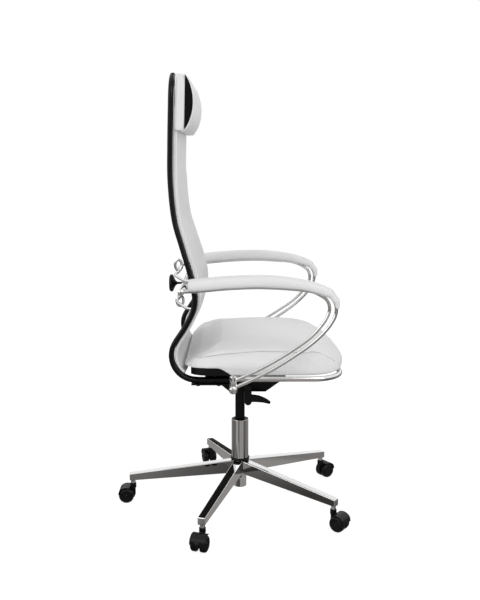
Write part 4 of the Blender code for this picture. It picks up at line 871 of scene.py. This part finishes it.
def makeBackPanel():
    stations = panelStations()
    spots = [p for p, half in stations]
    rings = []
    for i, (p, half) in enumerate(stations):
        ahead = (spots[min(i + 1, len(spots) - 1)] - spots[max(i - 1, 0)]).normalized()
        front = Vector((-ahead.y, ahead.x))
        ring = []
        for x, depth in panelSection(half, panelCrown(p.y)):
            spot = p + front * (railSpec["thickness"] / 2 + railSpec["gap"] + depth)
            ring.append((x, spot.x, spot.y))
        rings.append(ring)
    panel = loftRings("backPad", rings)
    markStrip(panel, len(rings[0]))
    puffUp(panel, panelSpec)
    refine(panel, 1, 1)
    finishPiece(panel, backHideShadedFront, "back_upholstery")


makeBackPanel()
print("back done")


# headrest with dark ends, piping and stitches

headSpec = {"voxel": 0.004, "shrink": 0.0015, "ease": 5, "pressure": 4.0, "cap": 0.0018,
            "held": lambda co, n: co.y > 0.150,
            "low": 1.0766, "height": 0.145, "bandFront": 0.0359, "lens": 0.0212, "lensPower": 1.7, "half": 0.1927,
            "inset": 0.0045, "rear": 0.0084, "corner": 0.016,
            "rim": 0.0036, "rimDepth": (-0.006, 0.004), "rimEnd": (0.1885, 0.1925), "rimFacing": 0.3,
            "endGap": 0.0003, "endLayers": [(0.0, 0.0), (0.0014, 0.0), (0.0020, -0.0010)],
            "piping": {"radius": 0.0013, "out": 0.0004, "grow": 0.0012},
            "stitch": {"line": (0.0, 0.0008, 0.0030, 0.0038), "radius": 0.0005, "depth": 0.0145, "gap": 0.0058,
                       "margin": 0.007}}
headStart = Vector((railY(headSpec["low"]), headSpec["low"]))


def headSpot(x, along, depth):  # along the back from the headrest's lower edge, depth in front of the rails
    spot = headStart + railLean * along + railFront * depth
    return (x, spot.x, spot.y)


def roundBand(pillow):  # rounded lower and upper corners next to the rails
    corner, inner = headSpec["corner"], headSpec["rear"] + headSpec["corner"]
    for v in pillow.data.vertices:
        away = Vector((v.co.y, v.co.z)) - headStart
        along, depth = away.dot(railLean), away.dot(railFront)
        for middle, side in ((corner, -1), (headSpec["height"] - corner, 1)):
            out = Vector((along - middle, depth - inner))
            if out.x * side > 0 and out.y < 0 and out.length > corner:
                out *= corner / out.length
                v.co = headSpot(v.co.x, middle + out.x, inner + out.y)


def fillRim(pillow):  # the hide stands up round both dark ends
    spec = headSpec
    low, high = (spec["bandFront"] + step for step in spec["rimDepth"])
    moves = []
    for v in pillow.data.vertices:
        depth = (Vector((v.co.y, v.co.z)) - headStart).dot(railFront)
        share = easeStep(depth, low, high) * (1 - easeStep(abs(v.co.x), *spec["rimEnd"]))
        away = Vector((0.0, v.normal.y, v.normal.z))
        if share > 0 and away.length > spec["rimFacing"]:
            moves.append((v, away.normalized() * spec["rim"] * share))
    for v, step in moves:
        v.co += step


def lensLine(x, grow):  # outline of the dark end
    spec = headSpec
    middle, reach = spec["height"] / 2, spec["height"] / 2 - spec["inset"] + grow
    line = []
    for k in range(33):
        a = math.pi * k / 32
        bulge = (spec["lens"] + grow) * math.sin(a) ** spec["lensPower"]
        line.append(headSpot(x, middle + reach * math.cos(a), spec["bandFront"] - grow * 0.5 + bulge))
    return line


def makeStitches(name, x):
    spec = headSpec["stitch"]
    stitch = tubeAlong("stitch", [headSpot(0, along, 0) for along in spec["line"]], spec["radius"], 1)
    rows = []
    for k in range(int((headSpec["height"] - 2 * spec["margin"]) / spec["gap"])):
        spot = Vector(headSpot(x, spec["margin"] + k * spec["gap"], spec["depth"]))
        rows.append(copyPiece(stitch, name, Matrix.Translation(spot - Vector(headSpot(0, 0, 0)))))
    dropPieces(stitch)
    # the stitches are painted grey as the shade in their holes
    finishPiece(joinPieces(*rows), seamShadeGrey, body="headrest", slot="white_leather")


def makeHeadrest():
    spec, piping = headSpec, headSpec["piping"]
    pillow = softBlank("headrest_cushion", "headPillow", spec)
    fillRim(pillow)
    roundBand(pillow)
    finishPiece(pillow, whiteHide, "headrest_cushion")
    for side, word in ((-1, "Right"), (1, "Left")):
        face = side * (spec["half"] + spec["endGap"])
        end = loftRings("headEnd" + word, [lensLine(face + side * out, grow) for out, grow in spec["endLayers"]])
        smoothShade(end, 50)
        finishPiece(end, blackHide, "headrest_end_" + word.lower())
        loop = lensLine(face + side * piping["out"], piping["grow"])
        cord = tubeAlong("headPiping" + word, loop, piping["radius"], 3, closed=True)
        finishPiece(cord, whiteHide, body="headrest", slot="white_leather")
        makeStitches("headStitch" + word, face)


makeHeadrest()
print("headrest done")


# chromed tubes: arm rods, seat frame, brackets and the cross tube

armTubeSpec = {"x": 0.300, "radius": 0.0045, "spread": 0.0055, "spreadZ": (0.5108, 0.6308),
               "outer": [(0.0175, 0.4318), (-0.026, 0.4518), (-0.077, 0.4778), (-0.127, 0.5088),
                         (-0.177, 0.5448), (-0.214, 0.5808), (-0.2345, 0.6118), (-0.2405, 0.6338),
                         (-0.2365, 0.6538), (-0.222, 0.6703)],
               "inner": [(0.0175, 0.4498), (-0.031, 0.4718), (-0.077, 0.4958), (-0.127, 0.5268),
                         (-0.177, 0.5628), (-0.211, 0.6018), (-0.2235, 0.6278), (-0.2235, 0.6458),
                         (-0.212, 0.6638)],
               "rest": [(-0.170, 0.6833), (-0.110, 0.6893), (-0.040, 0.6918), (0.040, 0.6883), (0.100, 0.6828),
                        (0.146, 0.6808)]}


def makeArmRods():
    spec = armTubeSpec
    for which, spread in (("outer", spec["spread"]), ("inner", -spec["spread"])):
        line = curveThrough(spec[which] + spec["rest"], 0.008)
        spots = [(-spec["x"] - spread * easeStep(p.y, *spec["spreadZ"]), p.x, p.y) for p in line]
        right = tubeAlong(which + "RodRight", spots, spec["radius"], 6)
        left = mirrorCopy(right, which + "RodLeft")
        for obj, side in ((right, "right"), (left, "left")):
            finishPiece(obj, chromePlate, "arm_rod_" + which + "_" + side)


makeArmRods()

armPadSpec = {"voxel": 0.0035, "shrink": 0.0012, "ease": 8, "pressure": 4.0, "cap": 0.003,
              "held": lambda co, n: n.z < -0.6,
              "thick": 0.026, "wrap": 0.0050, "frontWrap": 0.0035, "bend": (0.150, 0.212), "settle": 24}


def wrapOverRods(pad):  # the pad's lower side reaches down over the rods
    spec = armPadSpec
    line = curveThrough(armTubeSpec["outer"][4:] + armTubeSpec["rest"], 0.004)
    for v in pad.data.vertices:
        spot = Vector((v.co.y, v.co.z))
        i = min(range(1, len(line) - 1), key=lambda k: (line[k] - spot).length_squared)
        ahead = (line[i + 1] - line[i - 1]).normalized()
        above = Vector((-ahead.y, ahead.x))
        low = 1 - easeStep((spot - line[i]).dot(above), armTubeSpec["radius"], spec["thick"])
        reach = low * (spec["wrap"] + spec["frontWrap"] * easeStep(-spot.x, *spec["bend"]))
        v.co.y -= above.x * reach
        v.co.z -= above.y * reach


def makeArmPads():
    right = softBlank("arm_pad_right", "armPadRight", armPadSpec)
    wrapOverRods(right)
    refine(right, armPadSpec["settle"], 0)
    left = mirrorCopy(right, "armPadLeft")
    for pad, node in ((right, "arm_pad_right"), (left, "arm_pad_left")):
        finishPiece(pad, whiteHide, node)


makeArmPads()

seatTubeSpec = {"radius": 0.007, "x": 0.250, "z": 0.4428, "front": -0.268, "corner": 0.080, "rear": 0.0175}


def makeSeatTube():
    spec = seatTubeSpec
    corner, z = spec["corner"], spec["z"]
    bend = arcPoints((spec["x"] - corner, spec["front"] + corner), corner, 0, -90, 20)
    half = [(spec["x"], spec["rear"])] + bend
    line = [(x, y, z) for x, y in half] + [(-x, y, z) for x, y in reversed(half)]
    finishPiece(tubeAlong("seatFrameTube", line, spec["radius"], 7), chromePlate, "seat_tube")


makeSeatTube()

bracketSpec = {"y": 0.0175, "z": 0.4288, "x": 0.300,
               "boss": [(0.0, 0.3145), (0.0040, 0.3142), (0.0062, 0.3132), (0.0066, 0.3122), (0.0072, 0.3124),
                        (0.0095, 0.3108), (0.0105, 0.3085), (0.0105, 0.2356), (0.0, 0.2356)],
               "barrel": [(0.0, 0.4638), (0.0060, 0.4636), (0.0085, 0.4625), (0.0090, 0.4610), (0.0090, 0.4288),
                          (0.0, 0.4288)]}


def makeBrackets():
    spec = bracketSpec
    sideways = Matrix.Translation((0, spec["y"], spec["z"])) @ turnAbout("Y", 90)
    left = spunPiece("armBracketLeft", spec["boss"], 40, sideways)
    joinPieces(left, spunPiece("barrel", spec["barrel"], 36, Matrix.Translation((spec["x"], spec["y"], 0))))
    finishPiece(mirrorCopy(left, "armBracketRight"), chromePlate, "arm_bracket_right")
    finishPiece(left, chromePlate, "arm_bracket_left")


makeBrackets()

crossSpec = {"y": 0.146, "z": 0.6808,
             "line": [(0.0, 0.3178), (0.0030, 0.3175), (0.0058, 0.3163), (0.0076, 0.3148), (0.0085, 0.3130),
                      (0.0085, -0.3130), (0.0076, -0.3148), (0.0058, -0.3163), (0.0030, -0.3175), (0.0, -0.3178)],
             "saddle": {"wide": 0.018, "tall": 0.011, "sink": 0.0005, "edge": 0.0016},
             "nut": {"half": 0.012, "y": (0.138, 0.154), "z": (0.6458, 0.6808), "bore": 0.0039, "screwZ": 0.6588,
                     "edge": 0.0008}}


def nutBlock():  # block with a round bore along Y
    spec = crossSpec["nut"]
    half, bore, middle = spec["half"], spec["bore"], spec["screwZ"]
    low, high = spec["z"][0] - middle, spec["z"][1] - middle
    corners = [math.atan2(z, x) for z in (low, high) for x in (-half, half)]
    angles = sorted([math.pi * (k + 0.5) / 12 - math.pi for k in range(24)] + corners)
    outer, inner = [], []
    for a in angles:
        c, s = math.cos(a), math.sin(a)
        reach = min(half / max(abs(c), 1e-6), (high if s > 0 else -low) / max(abs(s), 1e-6))
        outer.append((reach * c, middle + reach * s))
        inner.append((bore * c, middle + bore * s))
    front, back = spec["y"]
    loops = ((outer, front), (outer, back), (inner, back), (inner, front), (outer, front))
    block = loftRings("nutBlock", [[(x, y, z) for x, z in loop] for loop, y in loops], capped=False)
    softEdges(block, spec["edge"], 2, 60)
    return block


def makeCrossTube():
    y, z, saddleSpec = crossSpec["y"], crossSpec["z"], crossSpec["saddle"]
    tube = spunPiece("armCrossTube", crossSpec["line"], 48, Matrix.Translation((0, y, z)) @ turnAbout("Y", 90))
    front = railY(z) + railSpec["thickness"] / 2 - saddleSpec["sink"]
    bpy.ops.object.select_all(action="DESELECT")
    bpy.ops.mesh.primitive_cube_add(size=1, location=(railX(z), (front + y) / 2, z))
    saddle = bpy.context.object
    saddle.scale = (saddleSpec["wide"], y - front, saddleSpec["tall"])
    applyAll(saddle)
    softEdges(saddle, saddleSpec["edge"], 3)
    joinPieces(tube, saddle, mirrorCopy(saddle, "saddleRight"), nutBlock())
    finishPiece(tube, chromePlate, "arm_cross_tube")


makeCrossTube()
print("chromed tubes done")


# lumbar support: two bowed wires and the knob on its screw

lumbarSpec = {"radius": 0.004, "screwZ": 0.6588, "rise": 0.036, "bowY": 0.1805, "eyeDepth": 0.0098,
              "eyeHeight": 0.0152, "eyeSink": {"upper": 0.55, "lower": 0.88}, "pitch": 0.0095, "turns": 28,
              # share of the rail's X, then a step behind the rail or a share of the eye's depth
              "foot": [(1.0, -0.001), (0.97, 0.009), (0.84, 0.021)], "bow": [(0.45, 0.1), (0.12, -0.25)],
              "knob": [(0.0, 0.2022), (0.0120, 0.2021), (0.0195, 0.2014), (0.0235, 0.1995), (0.0250, 0.1965),
                       (0.0249, 0.1935), (0.0235, 0.1912), (0.0205, 0.1898), (0.0120, 0.1862), (0.0068, 0.1832),
                       (0.0052, 0.1810), (0.0046, 0.1795)],
              "lobes": 12, "lobeReach": (0.0185, 0.0245), "lobeDepth": 0.0011,
              "screw": (0.0035, 0.0031), "screwY": (0.1795, 0.1221), "threads": 40}


def makeWires():
    spec = lumbarSpec
    deep, tall, turns = spec["eyeDepth"], spec["eyeHeight"], spec["turns"]
    for up, word in ((1, "upper"), (-1, "lower")):
        z = spec["screwZ"] + up * spec["rise"]
        rail, foot = railY(z) + railSpec["thickness"] / 2, railX(z)
        eyeY, eyeZ = spec["bowY"] - deep * spec["eyeSink"][word], z + up * tall
        half = [(foot * share, rail + step, z) for share, step in spec["foot"]]
        half += [(foot * share, eyeY + deep * step, z) for share, step in spec["bow"]]
        eye = []
        for k in range(turns + 1):
            a = 2 * math.pi * k / turns
            across = spec["pitch"] * (0.5 - k / turns)
            eye.append((across, eyeY + deep * math.sin(a), eyeZ - up * tall * math.cos(a)))
        left = curveThrough(half, 0.008)
        line = [*left, *eye, *[(-p.x, p.y, p.z) for p in reversed(left)]]
        wire = tubeAlong("lumbarWire" + word.title(), line, spec["radius"], 6)
        finishPiece(wire, chromePlate, "lumbar_wire_" + word)


def makeKnob():
    spec, threads = lumbarSpec, lumbarSpec["threads"]
    start, end = spec["screwY"]
    thread = [(spec["screw"][k % 2], start + (end - start) * k / threads) for k in range(threads + 1)]
    knob = spunPiece("lumbarKnob", spec["knob"] + thread + [(0.0, end)], 96)
    for v in knob.data.vertices:  # shallow finger lobes on the rim
        r = math.hypot(v.co.x, v.co.y)
        if r > spec["lobeReach"][0]:
            share = easeStep(r, *spec["lobeReach"])
            pull = spec["lobeDepth"] * share * (1 - math.cos(spec["lobes"] * math.atan2(v.co.y, v.co.x))) / 2
            v.co.x *= 1 - pull / r
            v.co.y *= 1 - pull / r
    placePiece(knob, Matrix.Translation((0, 0, spec["screwZ"])) @ turnAbout("X", -90))
    finishPiece(knob, castorBlack, "lumbar_knob")


makeWires()
makeKnob()
print("lumbar support done")


# stage and light

def seenWhite(tree):  # what the camera, metal and glass see as background
    path = tree.nodes.new("ShaderNodeLightPath").outputs
    shine = math2(tree, "MAXIMUM", path["Is Glossy Ray"], path["Is Transmission Ray"])
    return math2(tree, "MAXIMUM", path["Is Camera Ray"], shine)


floorSpec = {"size": 30, "tone": 0.85, "roughness": 0.8, "glow": 0.91, "shade": 0.20}


def makeFloor():
    spec = floorSpec
    bpy.ops.object.select_all(action="DESELECT")
    bpy.ops.mesh.primitive_plane_add(size=spec["size"], location=(0, 0, 0))
    floor = bpy.context.object
    floor.name = "studioFloor"
    mat = newMaterial("studioFloor", Base_Color=(spec["tone"],) * 3, Roughness=spec["roughness"],
                      Specular_IOR_Level=0.0)
    tree = mat.node_tree
    glow = addNode(tree, "ShaderNodeEmission", Strength=spec["glow"])
    shade = addNode(tree, "ShaderNodeBsdfDiffuse", Color=(*(spec["shade"],) * 3, 1))
    both = tree.nodes.new("ShaderNodeAddShader")
    mix = tree.nodes.new("ShaderNodeMixShader")
    link = tree.links.new
    link(glow.outputs[0], both.inputs[0])
    link(shade.outputs[0], both.inputs[1])
    link(seenWhite(tree), mix.inputs[0])
    link(tree.nodes["Principled BSDF"].outputs[0], mix.inputs[1])
    link(both.outputs[0], mix.inputs[2])
    link(mix.outputs[0], tree.nodes["Material Output"].inputs["Surface"])
    floor.data.materials.append(mat)


lightSpec = {
    "key": {"place": (-2.6, -1.8, 3.2), "aim": (0, 0, 0.6), "size": 2.2, "watts": 62, "shines": True},
    "fill": {"place": (-2.4, 2.6, 1.9), "aim": (0, 0, 0.6), "size": 2.4, "watts": 26, "shines": True},
    "back": {"place": (2.6, 0.6, 2.8), "aim": (0, 0, 0.7), "size": 2.2, "watts": 40, "shines": False},
}


def makeLights():
    for name, lamp in lightSpec.items():
        bpy.ops.object.light_add(type="AREA", location=lamp["place"])
        obj = bpy.context.object
        obj.name = name
        obj.data.size = lamp["size"]
        obj.data.energy = lamp["watts"]
        aim = Vector(lamp["aim"]) - Vector(lamp["place"])
        obj.rotation_euler = aim.to_track_quat("-Z", "Y").to_euler()
        obj.visible_glossy = lamp["shines"]


worldSpec = {"ambient": (0.55, 0.55, 0.56), "seen": (1.0, 1.0, 1.0)}


def makeWorld():
    world = bpy.data.worlds.new("studio")
    bpy.context.scene.world = world
    world.use_nodes = True
    tree = world.node_tree
    backing = tree.nodes["Background"].inputs
    tree.links.new(mixColours(tree, seenWhite(tree), worldSpec["ambient"], worldSpec["seen"]), backing["Color"])
    backing["Strength"].default_value = 1.0


# glowing cards that only reflections see: painted reflections that stand for the dim room the chrome mirrors

cardSpec = {
    "ground": {"radius": 5.0, "height": 0.0012, "middle": 0.31, "fade": (0.36, 0.42),
               "tones": [(0.0, 0.32), (0.11, 0.32), (0.16, 0.10), (0.20, 0.14), (0.25, 0.20), (0.42, 0.30),
                         (0.58, 0.30), (0.667, 0.18), (0.76, 0.14), (0.84, 0.15), (0.865, 0.42), (0.90, 0.42),
                         (0.94, 0.14), (0.98, 0.20), (1.0, 0.32)]},
    "nearFlag": {"outline": [(-0.05, 0.42), (-0.05, 0.0), (-0.20, 0.0), (-0.20, -0.15), (-0.36, -0.15),
                             (-0.36, 0.42)], "height": 0.0024, "from": 0.30, "to": -0.02, "tones": (0.16, 0.045)},
    "skirting": {"radius": 5.5, "low": 0.01, "top": 0.72, "tone": 0.03},
    "plain": {
        "rearFlag": (0.02, [(3.0, -0.55, 1.95), (3.0, 0.55, 1.95), (3.0, 0.55, 5.0), (3.0, -0.55, 5.0)]),
        "frontCard": (0.42, [(-4.2, -3.6, 0.02), (-4.2, 3.6, 0.02), (-4.2, 3.6, 3.2), (-4.2, -3.6, 3.2)]),
        "underFlag": (0.012, [(0.02, -0.04, 0.4), (0.42, -0.04, 0.4), (0.42, 0.32, 0.4), (0.02, 0.32, 0.4)]),
    },
}


def grey(tone):  # the painted room's greys are slightly warm
    return (tone, tone * 0.955, tone * 0.925)


def dressCard(obj):
    mat = bpy.data.materials.new(obj.name)
    mat.use_nodes = True
    tree = mat.node_tree
    tree.nodes.remove(tree.nodes["Principled BSDF"])
    glow = addNode(tree, "ShaderNodeEmission", Strength=1.0)
    tree.links.new(glow.outputs[0], tree.nodes["Material Output"].inputs["Surface"])
    split = tree.nodes.new("ShaderNodeSeparateXYZ")
    tree.links.new(tree.nodes.new("ShaderNodeTexCoord").outputs["Object"], split.inputs[0])
    obj.data.materials.append(mat)
    # emission only, seen by glossy rays alone: each card is a painted reflection
    obj.visible_camera = obj.visible_diffuse = obj.visible_shadow = obj.visible_transmission = False
    return tree, glow.inputs["Color"], split.outputs


def flatCard(name, points):
    return dressCard(meshObject(name, points, [], [tuple(range(len(points)))]))


def ringPoints(radius, height):
    return [(x, y, height) for x, y in arcPoints((0, 0), radius, 0, 354, 59)]


def makeCards():
    # the ground card's painted reflection tones change with the direction round the chair
    spec = cardSpec["ground"]
    tree, colour, (x, y, z) = flatCard("groundCard", ringPoints(spec["radius"], spec["height"]))
    turn = math2(tree, "ADD", math2(tree, "DIVIDE", math2(tree, "ARCTAN2", y, x), 2 * math.pi), 0.5)
    far = toneRamp(tree, turn, [(place, grey(tone)) for place, tone in spec["tones"]])
    square = math2(tree, "ADD", math2(tree, "MULTIPLY", x, x), math2(tree, "MULTIPLY", y, y))
    outside = mapRange(tree, math2(tree, "POWER", square, 0.5), *spec["fade"], 0.0, 1.0)
    tree.links.new(mixColours(tree, outside, grey(spec["middle"]), far), colour)

    spec = cardSpec["nearFlag"]
    tree, colour, (x, y, z) = flatCard("nearFlag", [(*spot, spec["height"]) for spot in spec["outline"]])
    share = mapRange(tree, y, spec["from"], spec["to"], 0.0, 1.0)
    tree.links.new(mixColours(tree, share, *[grey(tone) for tone in spec["tones"]]), colour)

    for name, (tone, corners) in cardSpec["plain"].items():
        flatCard(name, corners)[1].default_value = (*grey(tone), 1)

    spec = cardSpec["skirting"]
    skirt = loftRings("skirting", [ringPoints(spec["radius"], spec[end]) for end in ("low", "top")], capped=False)
    dressCard(skirt)[1].default_value = (*grey(spec["tone"]), 1)


makeCards()
makeFloor()
makeLights()
makeWorld()
bpy.context.scene.view_settings.view_transform = "Standard"
print("stage and light set")
